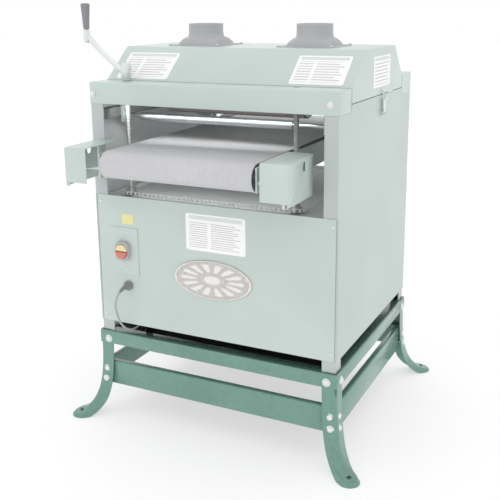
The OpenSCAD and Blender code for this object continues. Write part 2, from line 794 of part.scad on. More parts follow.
// Side plates of the table with the brackets that carry the lift nuts
module table_frame() {
    z0 = z_feed - 30;
    z1 = z_feed + 27;
    nut_z0 = z_feed - 24;
    nut_z1 = z_feed - 4;
    color(machine_paint) difference() {
        union() {
            block([side_l, -feed_y - 22, z0], [side_l + side_t, feed_y + 22, z1]);
            block([side_r, -feed_y - 22, z0], [side_r + side_t, feed_y + 22, z1]);
            for (p = screws) {
                x = p[0] < 0 ? [p[0] - 4, side_l + 1] : [side_r + side_t - 1, p[0] + 4];
                block([x[0], p[1] - 20, nut_z0], [x[1], p[1] + 20, nut_z0 + 5]);
                translate([p[0], p[1], nut_z0]) cylinder(r = 16, h = nut_z1 - nut_z0);
            }
        }
        for (p = screws) translate([p[0], p[1], nut_z0 - 1]) cylinder(r = screw_r + fit, h = 40);
        for (y = [-feed_y, feed_y]) rod_x(-hx, hx, y, z_feed, axle_r + fit);
    }
}

// Open sheet cover: a top, a front and an outer side with an oval hole. The left one is
// notched round the corner post.
module cover(x_out, s) {
    y1 = cover_front + cover_len;
    y_post = -hy - 3;
    color(machine_paint) translate([x_out, 0, 0]) mirror([s > 0 ? 1 : 0, 0, 0]) difference() {
        union() {
            block([0, cover_front, cover_top - cover_t], [cover_w, y1, cover_top]);
            block([0, cover_front, cover_top - 86], [cover_w - 2, cover_front + cover_t, cover_top]);
            block([0, cover_front, cover_top - 96], [cover_t, y1, cover_top]);
            block([0, cover_front, cover_top - 96], [12, cover_front + cover_t, cover_top]);
        }
        along_x(-1, 5) translate([-323, cover_top - 20]) slot_hole(16, 24);
        if (s < 0) block([-1, y_post, cover_top - 100], [post_w - (hx - abs(x_out)) + 5, y1 + 1, cover_top + 1]);
    }
}

// Long bolts that hold the covers to the table's side plates
module cover_bolts() {
    y = -396;
    z = z_feed - 8;
    color(steel) {
        rod_x(left_cover_x + cover_t, side_l, y, z, 4);
        rod_x(side_r + side_t, right_cover_x - cover_t, y, z, 4);
        for (x = [left_cover_x + cover_t, right_cover_x - cover_t - 6]) rod_x(x, x + 6, y, z, 6.5);
    }
}

module feed_roller(y, shaft_end) {
    color(steel) {
        rod_x(belt_x0 + 2, belt_x1 - 2, y, z_feed, feed_r);
        rod_x(shaft_end, side_r + side_t + 8, y, z_feed, axle_r);
    }
}

// Gearbox and motor of the feed, on the left end of the drive roller
module gear_motor() {
    x1 = side_l - 2;
    color(inner_grey) difference() {
        union() {
            block([x1 - 70, feed_y - 38, z_feed - 40], [x1, feed_y + 38, z_feed + 26]);
            translate([x1 - 35, feed_y, z_feed - 175]) cylinder(r = 36, h = 136);
            block([x1 - 6, feed_y - 20, z_feed - 20], [x1 + 2, feed_y + 20, z_feed + 20]);
        }
        rod_x(x1 - 60, x1 + 10, feed_y, z_feed, axle_r + fit);
    }
}

// ---------- lift ----------
// Sprocket outline: round valleys between short teeth
module sprocket() {
    difference() {
        circle(sprocket_r);
        for (i = [0 : sprocket_teeth - 1]) rotate(i * 360 / sprocket_teeth)
            translate([sprocket_r + 0.5, 0]) circle(3.6, $fn = 24);
    }
}

module lead_screw(p, top) {
    color(steel) translate([p[0], p[1], 0]) {
        translate([0, 0, z_deck - 14]) cylinder(r = screw_r, h = top - z_deck + 14);
        translate([0, 0, z_chain - 3]) linear_extrude(6) sprocket();
        translate([0, 0, z_chain + 3]) cylinder(r = 11, h = 7);
    }
}

// Flanged bushes that hold the lead screws below the deck and under the ledges
module screw_bearings() {
    color(inner_grey) for (p = screws) translate([p[0], p[1], 0]) difference() {
        union() {
            translate([0, 0, z_deck - 9]) cylinder(r = 22, h = 6);
            translate([0, 0, z_deck - 12]) cylinder(r = 11, h = 15);
            translate([0, 0, z_ledge - 15]) cylinder(r = 15, h = 12);
        }
        translate([0, 0, z_deck - 20]) cylinder(r = screw_r + fit, h = 400);
    }
}

// Outline of the chain's loop round the four sprockets
module chain_loop(r) {
    translate([screw_xl, -screw_y - r]) square([screw_xr - screw_xl, 2 * (screw_y + r)]);
    translate([screw_xl - r, -screw_y]) square([screw_xr - screw_xl + 2 * r, 2 * screw_y]);
    for (p = screws) translate(p) circle(r);
}

module lift_chain() {
    color(steel) translate([0, 0, z_chain - 4]) linear_extrude(8) difference() {
        chain_loop(chain_out_r);
        chain_loop(chain_in_r);
    }
}

crank_hub_h = 44;
crank_arm_z = z_ledge + 18;

// Hub on the front left screw, rising arm and end boss
module crank_arm() {
    p = screws[0];
    end = [p[0] - crank_reach, p[1], crank_arm_z + crank_rise];
    incline = atan2(crank_rise, crank_reach);
    span = norm([crank_reach, crank_rise]);
    color([0.85, 0.86, 0.87]) difference() {
        union() {
            translate([p[0], p[1], z_ledge + 1]) cylinder(r = 12, h = crank_hub_h);
            translate([p[0], p[1], crank_arm_z]) rotate([0, incline - 180, 0])
                translate([0, -4, -8]) cube([span, 8, 16]);
            translate([end[0], end[1], end[2] - 15]) cylinder(r = 8.5, h = 29);
        }
        translate([p[0], p[1], z_ledge - 5]) cylinder(r = screw_r, h = 40);
        translate([end[0], end[1], end[2] - 20]) cylinder(r = 4 + fit, h = 60);
    }
    color(steel) translate([p[0], p[1], z_ledge + 20]) rotate([0, 90, 0]) translate([0, 0, 10]) cylinder(r = 3, h = 5);
}

// Turning grip on its stud
module crank_grip() {
    p = screws[0];
    x = p[0] - crank_reach;
    z = crank_arm_z + crank_rise;
    color(dark) translate([x, p[1], 0]) {
        translate([0, 0, z + 15]) rotate_extrude() polygon([[0, 0], [7.5, 0], [8.3, 3], [11.2, 57], [11.6, 62],
            [10.4, 65], [7.6, 66], [0, 66]]);
        translate([0, 0, z - 19]) cylinder(r = 4, h = 37);
        translate([0, 0, z - 19]) cylinder(r = 6.5, h = 3.5);
    }
}

leg(-1, -1);  // leg_front_left
leg(1, -1);  // leg_front_right
leg(-1, 1);  // leg_rear_left
leg(1, 1);  // leg_rear_right
top_rails();
lower_rails();
stand_bolts();
corner_posts();
front_beam();
rear_beam();
chain_deck();
base_pan();
front_panel();
rear_panel();
side_panel(-1);  // left_panel
side_panel(1);  // right_panel
panel_screws();
control_plate();
switch_housing();
stop_paddle();
start_button();
cable_glands();
power_lead();
badge_plate();
label_plates();
drum_bearings();
roller_brackets();
screw_bearings();
drive_belt();
lift_chain();
motor_plate();
drum_motor();
motor_pulley();
hood_shell();
dust_port(-1);  // dust_port_left
dust_port(1);  // dust_port_right
hood_labels();
latch(-1);  // latch_left
latch(1);  // latch_right
drum_core(front_drum_y);  // front_drum
abrasive(front_drum_y);  // front_abrasive
drum_core(rear_drum_y);  // rear_drum
abrasive(rear_drum_y);  // rear_abrasive
pressure_roller(-press_y);  // front_pressure_roller
pressure_roller(press_y);  // rear_pressure_roller
table_frame();
table_bed();
feed_belt();
cover(left_cover_x, -1);  // left_cover
cover(right_cover_x, 1);  // right_cover
cover_bolts();
gear_motor();
feed_roller(-feed_y, side_l - 8);  // idler_roller
feed_roller(feed_y, side_l - 50);  // drive_roller
lead_screw(screws[0], z_ledge + 34);  // screw_front_left
lead_screw(screws[1], z_ledge + 2);  // screw_front_right
lead_screw(screws[2], z_ledge + 2);  // screw_rear_left
lead_screw(screws[3], z_ledge + 2);  // screw_rear_right
crank_arm();
crank_grip();
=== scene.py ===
"""Visual model of a two-drum thickness sander on a bolted stand, built on its CAD frame."""
import math

import bmesh
import bpy
import numpy as np
from mathutils import Matrix, Vector


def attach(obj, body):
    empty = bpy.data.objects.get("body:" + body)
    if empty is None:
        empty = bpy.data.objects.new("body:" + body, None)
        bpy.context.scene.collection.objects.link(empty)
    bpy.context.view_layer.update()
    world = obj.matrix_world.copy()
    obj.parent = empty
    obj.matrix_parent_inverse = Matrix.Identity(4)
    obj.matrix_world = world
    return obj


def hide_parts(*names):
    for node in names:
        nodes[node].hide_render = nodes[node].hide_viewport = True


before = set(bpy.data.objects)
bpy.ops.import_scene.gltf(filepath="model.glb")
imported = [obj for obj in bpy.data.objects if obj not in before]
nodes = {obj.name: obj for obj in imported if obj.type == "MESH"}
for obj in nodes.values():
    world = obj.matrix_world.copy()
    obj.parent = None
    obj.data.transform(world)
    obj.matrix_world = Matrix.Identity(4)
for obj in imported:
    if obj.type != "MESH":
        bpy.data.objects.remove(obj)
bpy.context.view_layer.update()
scene = bpy.context.scene
scene.view_settings.view_transform = "Standard"

# ---------------------------------------------------------------- sizes of the part, in metres
MM = 0.001
Z_STAND, Z_PANEL, Z_FRONT = 0.245, 0.2735, 0.6215
Z_BEAM, Z_SKIRT, Z_LEDGE, Z_HOOD = 0.856, 0.875, 0.910, 0.9905
HALF_X, HALF_Y = 0.335, 0.287
SEAM_X = 0.3298
Y_LEDGE, Y_REAR_LEDGE = -0.213, 0.199
HOOD_Y0, HOOD_Y1 = -0.115, 0.128
RAIL_X, RAIL_Y, STAND_SHEET = 0.3397, 0.2924, 0.003
LEG_X, LEG_Y = RAIL_X - STAND_SHEET, RAIL_Y - STAND_SHEET
SCREWS = [(-0.260, -0.231), (0.208, -0.231), (-0.260, 0.231), (0.208, 0.231)]
Z_FEED, FEED_Y = 0.7245, 0.3815
BELT_X0, BELT_X1, BELT_OUT, BELT_IN = -0.223, 0.179, 0.0329, 0.0304
SIDE_L, SIDE_R, SIDE_SHEET = -0.232, 0.184, 0.004
SWITCH = (-0.251, 0.478)
LEAD_R = 0.0029
Z_CHAIN = 0.622


# ---------------------------------------------------------------- camera
def place_camera():
    """Camera with a lens of 57.7 mm: its axes come from a turn to the left, a tilt down and a small roll."""
    yaw, pitch, roll = 0.4567, -0.2381, -0.0101
    forward = Vector((-math.sin(yaw) * math.cos(pitch), math.cos(yaw) * math.cos(pitch), math.sin(pitch)))
    right = Vector((math.cos(yaw), math.sin(yaw), 0.0))
    up = right.cross(forward)
    turned_right = math.cos(roll) * right + math.sin(roll) * up
    turned_up = math.cos(roll) * up - math.sin(roll) * right
    data = bpy.data.cameras.new("studio_camera")
    data.sensor_width = 36.0
    data.lens = 57.72
    data.shift_y = -0.10
    camera = bpy.data.objects.new("studio_camera", data)
    scene.collection.objects.link(camera)
    turn = Matrix((turned_right, turned_up, -forward)).transposed().to_4x4()
    camera.matrix_world = Matrix.Translation((0.9239, -1.9364, 1.0932)) @ turn
    scene.camera = camera


place_camera()


# ---------------------------------------------------------------- shader arithmetic
class Wire:
    """One shader value that can be used in arithmetic; each operator adds its Math node."""

    def __init__(self, finish, socket):
        self.finish, self.socket = finish, socket

    def maths(self, operation, *values):
        made = self.finish.node("ShaderNodeMath", {"operation": operation}, dict(enumerate(values)))
        return Wire(self.finish, made.outputs[0])

    def __add__(self, other):
        return self.maths("ADD", self, other)

    def __sub__(self, other):
        return self.maths("SUBTRACT", self, other)

    def __rsub__(self, other):
        return self.maths("SUBTRACT", other, self)

    def __mul__(self, other):
        return self.maths("MULTIPLY", self, other)

    def sine(self):
        return self.maths("SINE", self)

    def size(self):
        return self.maths("ABSOLUTE", self)

    def above(self, edge):
        return self.maths("GREATER_THAN", self, edge)

    def step(self, low, high):
        """0 below low, 1 above high, with a smooth slope between."""
        made = self.finish.node("ShaderNodeMapRange", {"interpolation_type": "SMOOTHSTEP"},
                                {"Value": self, "From Min": low, "From Max": high})
        return Wire(self.finish, made.outputs[0])


class Finish:
    """A material under construction, with a principled shader at its end."""

    def __init__(self, name, colour, roughness=0.5, metallic=0.0, coat=0.0, coat_roughness=0.1):
        self.mat = bpy.data.materials.new(name)
        self.mat.use_nodes = True
        self.tree = self.mat.node_tree
        self.shader = self.tree.nodes["Principled BSDF"]
        self.set("Base Color", colour)
        self.set("Roughness", roughness)
        self.set("Metallic", metallic)
        self.set("Coat Weight", coat)
        self.set("Coat Roughness", coat_roughness)

    def node(self, kind, settings=None, inputs=None):
        """Adds one node: its settings first, then the values or links of its sockets."""
        made = self.tree.nodes.new(kind)
        for key, value in (settings or {}).items():
            setattr(made, key, value)
        for key, value in (inputs or {}).items():
            self.feed(made.inputs[key], value)
        return made

    def feed(self, socket, value):
        if isinstance(value, Wire):
            self.tree.links.new(value.socket, socket)
        elif isinstance(value, (tuple, list)) and socket.type == "RGBA" and len(value) == 3:
            socket.default_value = (*value, 1.0)
        else:
            socket.default_value = value

    def set(self, name, value):
        self.feed(self.shader.inputs[name], value)

    def place(self):
        return Wire(self, self.node("ShaderNodeTexCoord").outputs["Object"])

    def axes(self):
        made = self.node("ShaderNodeSeparateXYZ", None, {0: self.place()})
        return [Wire(self, made.outputs[i]) for i in range(3)]

    def noise(self, scale, detail=3.0, roughness=0.5, stretch=None):
        where = self.place()
        if stretch:
            where = Wire(self, self.node("ShaderNodeMapping", None, {"Vector": where, "Scale": stretch}).outputs[0])
        made = self.node("ShaderNodeTexNoise", None,
                         {"Vector": where, "Scale": scale, "Detail": detail, "Roughness": roughness})
        return Wire(self, made.outputs["Fac"])

    def grains(self, scale, feature="F1"):
        made = self.node("ShaderNodeTexVoronoi", {"feature": feature}, {"Vector": self.place(), "Scale": scale})
        return Wire(self, made.outputs["Distance"])

    def mix(self, share, first, second):
        made = self.node("ShaderNodeMix", {"data_type": "RGBA"}, {0: share, 6: first, 7: second})
        return Wire(self, made.outputs[2])

    def bump(self, height, strength, distance):
        made = self.node("ShaderNodeBump", None, {"Strength": strength, "Distance": distance, "Height": height})
        self.set("Normal", Wire(self, made.outputs[0]))


def srgb(r, g, b):
    """Linear colour of an 8-bit screen colour."""
    return tuple(((v / 255 + 0.055) / 1.055) ** 2.4 if v > 10 else v / 255 / 12.92 for v in (r, g, b))


def shade(colour, factor):
    """The same colour, lighter or darker by a factor."""
    return tuple(min(1.0, v * factor) for v in colour)


def painted_sheet(name, colour, roughness=0.38, drift=0.05, peel=0.10):
    """Stoved enamel on sheet steel: slight cloudiness, a fine orange-peel relief and a clear top film."""
    f = Finish(name, colour, roughness, coat=0.25, coat_roughness=0.18)
    cloud = f.noise(3.2, 4.0)
    speck = f.noise(160.0, 2.0)
    f.set("Base Color", f.mix(cloud.step(0.3, 0.7), shade(colour, 1.0 - drift), shade(colour, 1.0 + drift * 0.6)))
    f.set("Roughness", cloud * 0.10 + speck * 0.08 + (roughness - 0.08))
    f.bump(f.noise(420.0, 2.0) + f.noise(38.0, 1.0) * 0.6, peel, 0.0006)
    return f.mat


def bare_steel(name, colour, roughness, along=(1.0, 1.0, 1.0), streak=0.3, grain=260.0, metal=1.0):
    """Turned or drawn steel: streaks along one direction, and light smudges."""
    f = Finish(name, colour, roughness, metallic=metal)
    lines = f.noise(grain, 3.0, 0.6, along)
    smudge = f.noise(14.0, 3.0)
    f.set("Base Color", f.mix(lines * 0.5 + smudge * 0.5, shade(colour, 0.82), shade(colour, 1.08)))
    f.set("Roughness", lines * streak + smudge * 0.12 + (roughness - 0.2))
    f.bump(lines, 0.12, 0.0004)
    return f.mat


def grey_casting(name, colour, roughness=0.62, size=260.0):
    """Painted or cast grey metal with a fine sandy skin."""
    f = Finish(name, colour, roughness)
    sand = f.noise(size, 4.0, 0.65)
    cloud = f.noise(9.0, 3.0)
    f.set("Base Color", f.mix(cloud * 0.6 + sand * 0.4, shade(colour, 0.84), shade(colour, 1.12)))
    f.set("Roughness", sand * 0.2 + (roughness - 0.1))
    f.bump(sand, 0.25, 0.0008)
    return f.mat


def moulded_plastic(name, colour, roughness=0.45, grain=700.0):
    """Moulded plastic with a fine spark-eroded grain."""
    f = Finish(name, colour, roughness)
    pits = f.noise(grain, 2.0, 0.6)
    cloud = f.noise(22.0, 2.0)
    f.set("Base Color", f.mix(cloud, shade(colour, 0.93), shade(colour, 1.07)))
    f.set("Roughness", pits * 0.14 + (roughness - 0.05))
    f.bump(pits, 0.15, 0.0004)
    return f.mat


CREAM = srgb(196, 210, 205)
GREEN = srgb(108, 149, 135)

paint = painted_sheet("pale_enamel", CREAM)
zinc = bare_steel("zinc_plated_steel", srgb(236, 239, 238), 0.42, metal=0.6)
steel = bare_steel("ground_steel", srgb(196, 198, 200), 0.36, (0.02, 1.0, 1.0))
grey = grey_casting("grey_primer", srgb(150, 155, 153))
# The deck's pale grey is partly painted light that lifts the shade inside the throat.
deck_grey = grey_casting("deck_grey", srgb(226, 229, 228), 0.5, 120.0)
cast_grey = grey_casting("cast_iron_grey", srgb(128, 132, 132), 0.66, 180.0)
motor_grey = grey_casting("motor_grey", srgb(118, 124, 128), 0.5, 90.0)
black = moulded_plastic("black_moulding", srgb(58, 58, 60))
grip_grey = moulded_plastic("grip_moulding", srgb(138, 137, 142), 0.36, 500.0)
port_grey = moulded_plastic("port_moulding", srgb(178, 180, 182), 0.42, 420.0)
rubber = moulded_plastic("black_rubber", srgb(44, 44, 46), 0.72, 300.0)
cream_plastic = moulded_plastic("cream_moulding", srgb(238, 233, 205), 0.32)
red_plastic = moulded_plastic("red_moulding", srgb(214, 128, 116), 0.34)
yellow_plastic = moulded_plastic("yellow_moulding", srgb(232, 222, 172), 0.34)
label_white = moulded_plastic("label_film", srgb(246, 246, 244), 0.4, 900.0)


def two_faced_panel(name, colour, inner):
    """Side panel: enamel outside and a duller grey coat on the face that looks into the machine; the caller's outer
    colour is a darker copy of the cream as painted shade, and its pale inner grey is partly painted light.
    """
    f = Finish(name, colour, 0.38, coat=0.25, coat_roughness=0.18)
    out = f.axes()[0].size().above(HALF_X - 0.0008)
    cloud = f.noise(3.2, 4.0)
    skin = f.mix(cloud.step(0.3, 0.7), shade(colour, 0.95), shade(colour, 1.03))
    f.set("Base Color", f.mix(out, inner, skin))
    f.set("Roughness", cloud * 0.1 + 0.55 - out * 0.22)
    f.bump(f.noise(420.0, 2.0), 0.10, 0.0006)
    return f.mat


def belt_weave(name, colour):
    """Rubbed grey belt with a close diamond grain: two crossed waves, fine crumbs and traffic-worn patches."""
    f = Finish(name, colour, 0.75)
    x, y, z = f.axes()
    run = y + z * 0.8
    grain = (x * 2200.0 + run * 1300.0).sine() * (x * 2200.0 - run * 1300.0).sine()
    crumbs = f.noise(330.0, 3.0, 0.7)
    patches = f.noise(7.0, 3.0)
    worn = patches.step(0.35, 0.7)
    mottled = f.mix(crumbs.step(0.35, 0.65), shade(colour, 0.90), shade(colour, 1.06))
    f.set("Base Color", f.mix(worn * 0.35, mottled, shade(colour, 0.86)))
    f.set("Roughness", crumbs * 0.2 + 0.62)
    f.bump(grain * 0.35 + crumbs, 0.5, 0.0008)
    return f.mat


def stand_coat_with_painted_shade(name, colour):
    """Heavier enamel of the stand: cloudier, with painted shade that darkens the faces that look inwards below the
    machine.
    """
    f = Finish(name, colour, 0.28, coat=0.35, coat_roughness=0.14)
    x, y, z = f.axes()
    skin_depth, low = 0.0016, 0.19
    inward = (1 - x.size().above(RAIL_X - skin_depth)) * (1 - y.size().above(RAIL_Y - skin_depth)) * z.above(low)
    cloud, fleck = f.noise(5.0, 5.0, 0.6), f.noise(70.0, 3.0, 0.6)
    skin = f.mix((cloud * 0.7 + fleck * 0.3).step(0.35, 0.65), shade(colour, 0.88), shade(colour, 1.08))
    # Painted shade: faces inside the rail frame above 0.19 m are mixed three quarters of the way to a dark copy of
    # the green.
    f.set("Base Color", f.mix(inward * 0.75, skin, shade(colour, 0.36)))
    f.set("Roughness", cloud * 0.14 + 0.20)
    f.bump(f.noise(300.0, 2.0) + f.noise(40.0, 2.0) * 0.8, 0.22, 0.0007)
    return f.mat


def cast_badge(name, raised, sunk):
    """Cast badge, rubbed bright on its raised parts and left dull and mottled in its hollows."""
    f = Finish(name, raised, 0.4, metallic=0.55)
    height = (f.axes()[1] + HALF_Y) * -1000.0
    high = height.step(2.7, 3.9)
    mottle = f.noise(240.0, 4.0, 0.7)
    f.set("Base Color", f.mix(high * 0.7 + (mottle - 0.5) * 1.6 + 0.1, sunk, raised))
    f.set("Roughness", 0.55 - high * 0.2)
    f.bump(mottle, 0.5, 0.0008)
    return f.mat


def sanding_cloth(name, colour):
    """Coated abrasive: dense grains in two sizes, light on dark."""
    f = Finish(name, colour, 0.9)
    coarse = f.grains(1500.0)
    fine = f.noise(900.0, 3.0, 0.7)
    f.set("Base Color", f.mix(coarse.step(0.2, 0.6), shade(colour, 1.25), shade(colour, 0.7)))
    f.set("Roughness", fine * 0.2 + 0.75)
    f.bump(fine * 0.6 + coarse, 0.8, 0.0008)
    return f.mat


def threaded_rod(name, colour):
    """Thread shown as a relief of rings along the rod, one to each pitch, under a thin film of oil."""
    f = Finish(name, colour, 0.34, metallic=0.6)
    pitch = 0.004
    wave = (f.axes()[2] * (2 * math.pi / pitch)).sine()
    oil = f.noise(30.0, 3.0)
    # Painted shade and highlight: the colour darkens in the thread's grooves and lightens on its crests, following
    # the relief.
    f.set("Base Color", f.mix(wave * 0.5 + 0.5, shade(colour, 0.66), shade(colour, 1.08)))
    f.set("Roughness", oil * 0.15 + 0.24)
    f.bump(wave, 0.7, 0.0012)
    return f.mat


stand_green = stand_coat_with_painted_shade("stand_enamel_and_painted_shade", GREEN)
badge_metal = cast_badge("badge_casting", srgb(244, 242, 238), srgb(196, 193, 190))
# Side panels: the cabinet cream darkened to 0.88 as painted shade on the side faces; the inner grey is pale partly as
# painted light in the shaded interior.
side_paint_shade_and_light = two_faced_panel("side_enamel_shade_and_light", shade(CREAM, 0.88), srgb(222, 224, 225))
posts_paint = painted_sheet("post_enamel", srgb(188, 196, 195), 0.42)
belt_cloth = belt_weave("belt_surface", srgb(206, 206, 208))
abrasive_cloth = sanding_cloth("sanding_cloth", srgb(132, 126, 122))
thread = threaded_rod("lift_screw_thread", srgb(206, 207, 206))
crank_metal = bare_steel("satin_crank_casting", srgb(232, 235, 235), 0.40, grain=120.0)
switch_grey = moulded_plastic("switch_moulding", srgb(186, 180, 180), 0.4)
gland_grey = moulded_plastic("gland_moulding", srgb(134, 136, 140), 0.45)
small_plate = moulded_plastic("small_plate_film", srgb(238, 230, 168), 0.4, 900.0)
# The chain's near-white, less metallic finish is partly the bright plates and partly a painted highlight of the
# roller row.
chain_steel = bare_steel("chain_plates", srgb(244, 245, 245), 0.40, metal=0.35)
lead_grey = moulded_plastic("lead_sheath", srgb(176, 178, 180), 0.5, 240.0)
# The base pan's near-black is partly its dark coat and partly painted shade of the gap under the cabinet.
pan_dark_and_shade = moulded_plastic("pan_dark_coat_and_painted_shade", srgb(22, 24, 26), 0.7, 200.0)
drum_metal = bare_steel("drum_aluminium", srgb(206, 208, 208), 0.38, (0.02, 1.0, 1.0))

for name, node in nodes.items():
    node.data.materials.clear()
    node.data.materials.append(paint)
for mat, names in (
    (stand_green, "leg_front_left leg_front_right leg_rear_left leg_rear_right top_rails lower_rails"),
    (zinc, "stand_bolts panel_screws latch_left latch_right cover_bolts crank_arm"),
    (steel, "lift_chain motor_pulley front_pressure_roller rear_pressure_roller idler_roller drive_roller"),
    (thread, "screw_front_left screw_front_right screw_rear_left screw_rear_right"),
    (drum_metal, "front_drum rear_drum"), (abrasive_cloth, "front_abrasive rear_abrasive"),
    (cast_grey, "drum_bearings screw_bearings"), (grey, "motor_plate table_bed"),
    (motor_grey, "drum_motor gear_motor"), (port_grey, "dust_port_left dust_port_right"),
    (side_paint_shade_and_light, "left_panel right_panel"), (posts_paint, "corner_posts"), (deck_grey, "chain_deck"),
    (pan_dark_and_shade, "base_pan"), (belt_cloth, "feed_belt"), (rubber, "drive_belt"), (grip_grey, "crank_grip"),
    (cream_plastic, "switch_housing"), (red_plastic, "stop_paddle"), (yellow_plastic, "start_button"),
    (black, "cable_glands power_lead"), (badge_metal, "badge_plate"), (label_white, "label_plates hood_labels"),
):
    for name in names.split():
        nodes[name].data.materials[0] = mat


# ---------------------------------------------------------------- shapes worked out on grids
def smooth(value, low, high):
    """0 below low and 1 above high: 3 s^2 - 2 s^3 of the share s of the way between them."""
    share = np.clip((value - low) / (high - low), 0.0, 1.0)
    return share * share * (3.0 - 2.0 * share)


def grid_faces(rows, columns, wrap=False):
    """Quads between neighbouring rows and columns of a grid; wrap joins the last column to the first."""
    i, j = np.meshgrid(np.arange(rows - 1), np.arange(columns if wrap else columns - 1), indexing="ij")
    i, j = i.ravel(), j.ravel()
    k = (j + 1) % columns
    return np.stack([i * columns + j, i * columns + k, (i + 1) * columns + k, (i + 1) * columns + j], axis=1)


def joined(*parts):
    """One (points, faces) pair out of several, with the face numbers moved on."""
    points, faces, start = [], [], 0
    for p, f in parts:
        p = np.asarray(p, float).reshape(-1, 3)
        points.append(p)
        faces += [tuple(int(v) + start for v in face) for face in f]
        start += len(p)
    return np.concatenate(points), faces


def turned(profile, centre=(0, 0, 0), axis="z", sides=40):
    """A profile of (radius, height) points turned round an axis through centre: x = r cos a, y = r sin a, z = h."""
    profile = np.asarray(profile, float)
    a = np.linspace(0, 2 * np.pi, sides, endpoint=False)
    r, h = profile[:, :1], profile[:, 1:]
    flat = np.stack([r * np.cos(a), r * np.sin(a), h + 0 * a], axis=-1)
    order = {"z": (0, 1, 2), "x": (2, 0, 1), "y": (1, 2, 0)}[axis]
    points = flat[..., order] + np.asarray(centre, float)
    return points.reshape(-1, 3), grid_faces(len(profile), sides, wrap=True)


def filleted(corners, radius, steps=5):
    """An open line with each inner corner replaced by an arc of that radius, as points at equal angles."""
    corners = [np.asarray(c, float) for c in corners]
    line = [corners[0]]
    for before, here, after in zip(corners, corners[1:], corners[2:]):
        u, w = before - here, after - here
        u, w = u / np.linalg.norm(u), w / np.linalg.norm(w)
        half = math.acos(float(np.clip(u @ w, -1, 1))) / 2
        back = radius / math.tan(half)
        middle = here + (u + w) / np.linalg.norm(u + w) * radius / math.sin(half)
        first, last = here + u * back, here + w * back
        for share in np.linspace(0, 1, steps + 1):
            mixed = (1 - share) * (first - middle) + share * (last - middle)
            line.append(middle + mixed / np.linalg.norm(mixed) * radius)
    line.append(corners[-1])
    return np.array(line)


def dense(line, step):
    """The same line with points added along its straight stretches, so that none is longer than step."""
    line = np.asarray(line, float)
    spans = []
    for a, b in zip(line, line[1:]):
        count = max(1, math.ceil(np.linalg.norm(b - a) / step))
        spans.append(a + (b - a) * np.linspace(0, 1, count, endpoint=False)[:, None])
    return np.concatenate(spans + [line[-1:]])


def folded(line, start, end, axis="x"):
    """A folded sheet: an open line in the plane square to the axis, carried from start to end along it."""
    line = np.asarray(line, float)
    return np.concatenate([facing(axis, v, line) for v in (start, end)]), grid_faces(2, len(line))


def capped(rings, count, low=True, high=True):
    """Faces of a stack of closed rings of count points, with a flat face over one end or both."""
    faces = [tuple(f) for f in grid_faces(rings, count, wrap=True)]
    last = (rings - 1) * count
    return faces + [tuple(range(count))[::-1]] * low + [tuple(range(last, last + count))] * high


def inward(line):
    """Unit normals of an open line in its own plane, on the side that is on the right as one follows it."""
    ahead = np.gradient(line, axis=0)
    normal = np.stack([ahead[:, 1], -ahead[:, 0]], axis=1)
    return normal / np.linalg.norm(normal, axis=1)[:, None]


def rounded_end(line, x_out, s, edge):
    """Rings of the quarter round by which a folded line turns into the flat end at x_out."""
    normal = inward(line)
    return [facing("x", x_out - s * edge * (1 - math.sin(t)), line + normal * edge * (1 - math.cos(t)))
            for t in np.linspace(0, np.pi / 2, 5)]


def rounded_block(low, high, radius, steps=4):
    """A box with round edges: each point is a corner of the inner box plus radius times a direction of the sphere."""
    low, high = np.asarray(low, float), np.asarray(high, float)
    middle, half = (low + high) / 2, (high - low) / 2 - radius
    quarter = np.linspace(0, np.pi / 2, steps + 1)
    turn = np.concatenate([quarter + k * np.pi / 2 for k in range(4)])
    sx = np.repeat([1, -1, -1, 1], steps + 1)
    sy = np.repeat([1, 1, -1, -1], steps + 1)
    rise = np.concatenate([quarter - np.pi / 2, quarter])
    sz = np.repeat([-1, 1], steps + 1)
    direction = np.stack([np.cos(rise)[:, None] * np.cos(turn), np.cos(rise)[:, None] * np.sin(turn),
                          np.sin(rise)[:, None] + 0 * turn], axis=-1)
    corner = np.stack([sx + 0 * rise[:, None], sy + 0 * rise[:, None], sz[:, None] + 0 * turn], axis=-1)
    points = middle + corner * half + radius * direction
    faces = [tuple(f) for f in grid_faces(len(rise), len(turn), wrap=True)]
    last = (len(rise) - 1) * len(turn)
    ends = [k * (steps + 1) for k in range(4)]
    return points.reshape(-1, 3), faces + [tuple(reversed(ends)), tuple(last + e for e in ends)]


def swept(path, radius, sides=16, flat=1.0, reference=(0.0, 1.0, 0.0)):
    """A round or flattened rod along a path: circles square to the path, turned as little as possible."""
    path = np.asarray(path, float)
    radius = np.broadcast_to(np.asarray(radius, float), len(path))
    ahead = np.gradient(path, axis=0)
    ahead /= np.linalg.norm(ahead, axis=1)[:, None]
    side = np.cross(ahead, reference)
    side /= np.linalg.norm(side, axis=1)[:, None]
    lift = np.cross(side, ahead)
    a = np.linspace(0, 2 * np.pi, sides, endpoint=False)
    ring = np.cos(a)[None, :, None] * side[:, None] * flat + np.sin(a)[None, :, None] * lift[:, None]
    points = path[:, None] + radius[:, None, None] * ring
    return points.reshape(-1, 3), capped(len(path), sides)


def oval(width, height, count, square=2.0):
    """An outline (|x| / a)^n + (|y| / b)^n = 1, from a round oval at n = 2 towards a rectangle as n grows."""
    a = np.linspace(0, 2 * np.pi, count, endpoint=False)
    c, s = np.cos(a), np.sin(a)
    r = (np.abs(c) ** square + np.abs(s) ** square) ** (-1 / square)
    return np.stack([width / 2 * r * c, height / 2 * r * s], axis=1)


def facing(kind, value, shape):
    """Puts a flat (p, q) shape on the plane square to an axis at one value of it."""
    p, q = shape[..., 0], shape[..., 1]
    v = np.zeros_like(p) + value
    return np.stack({"x": (v, p, q), "y": (p, v, q), "z": (p, q, v)}[kind], axis=-1)


def pierced(outer, inner, axis, value):
    """A flat sheet between an outer outline and a hole with as many points."""
    points = np.concatenate([facing(axis, value, outer), facing(axis, value, inner)])
    return points, grid_faces(2, len(outer), wrap=True)


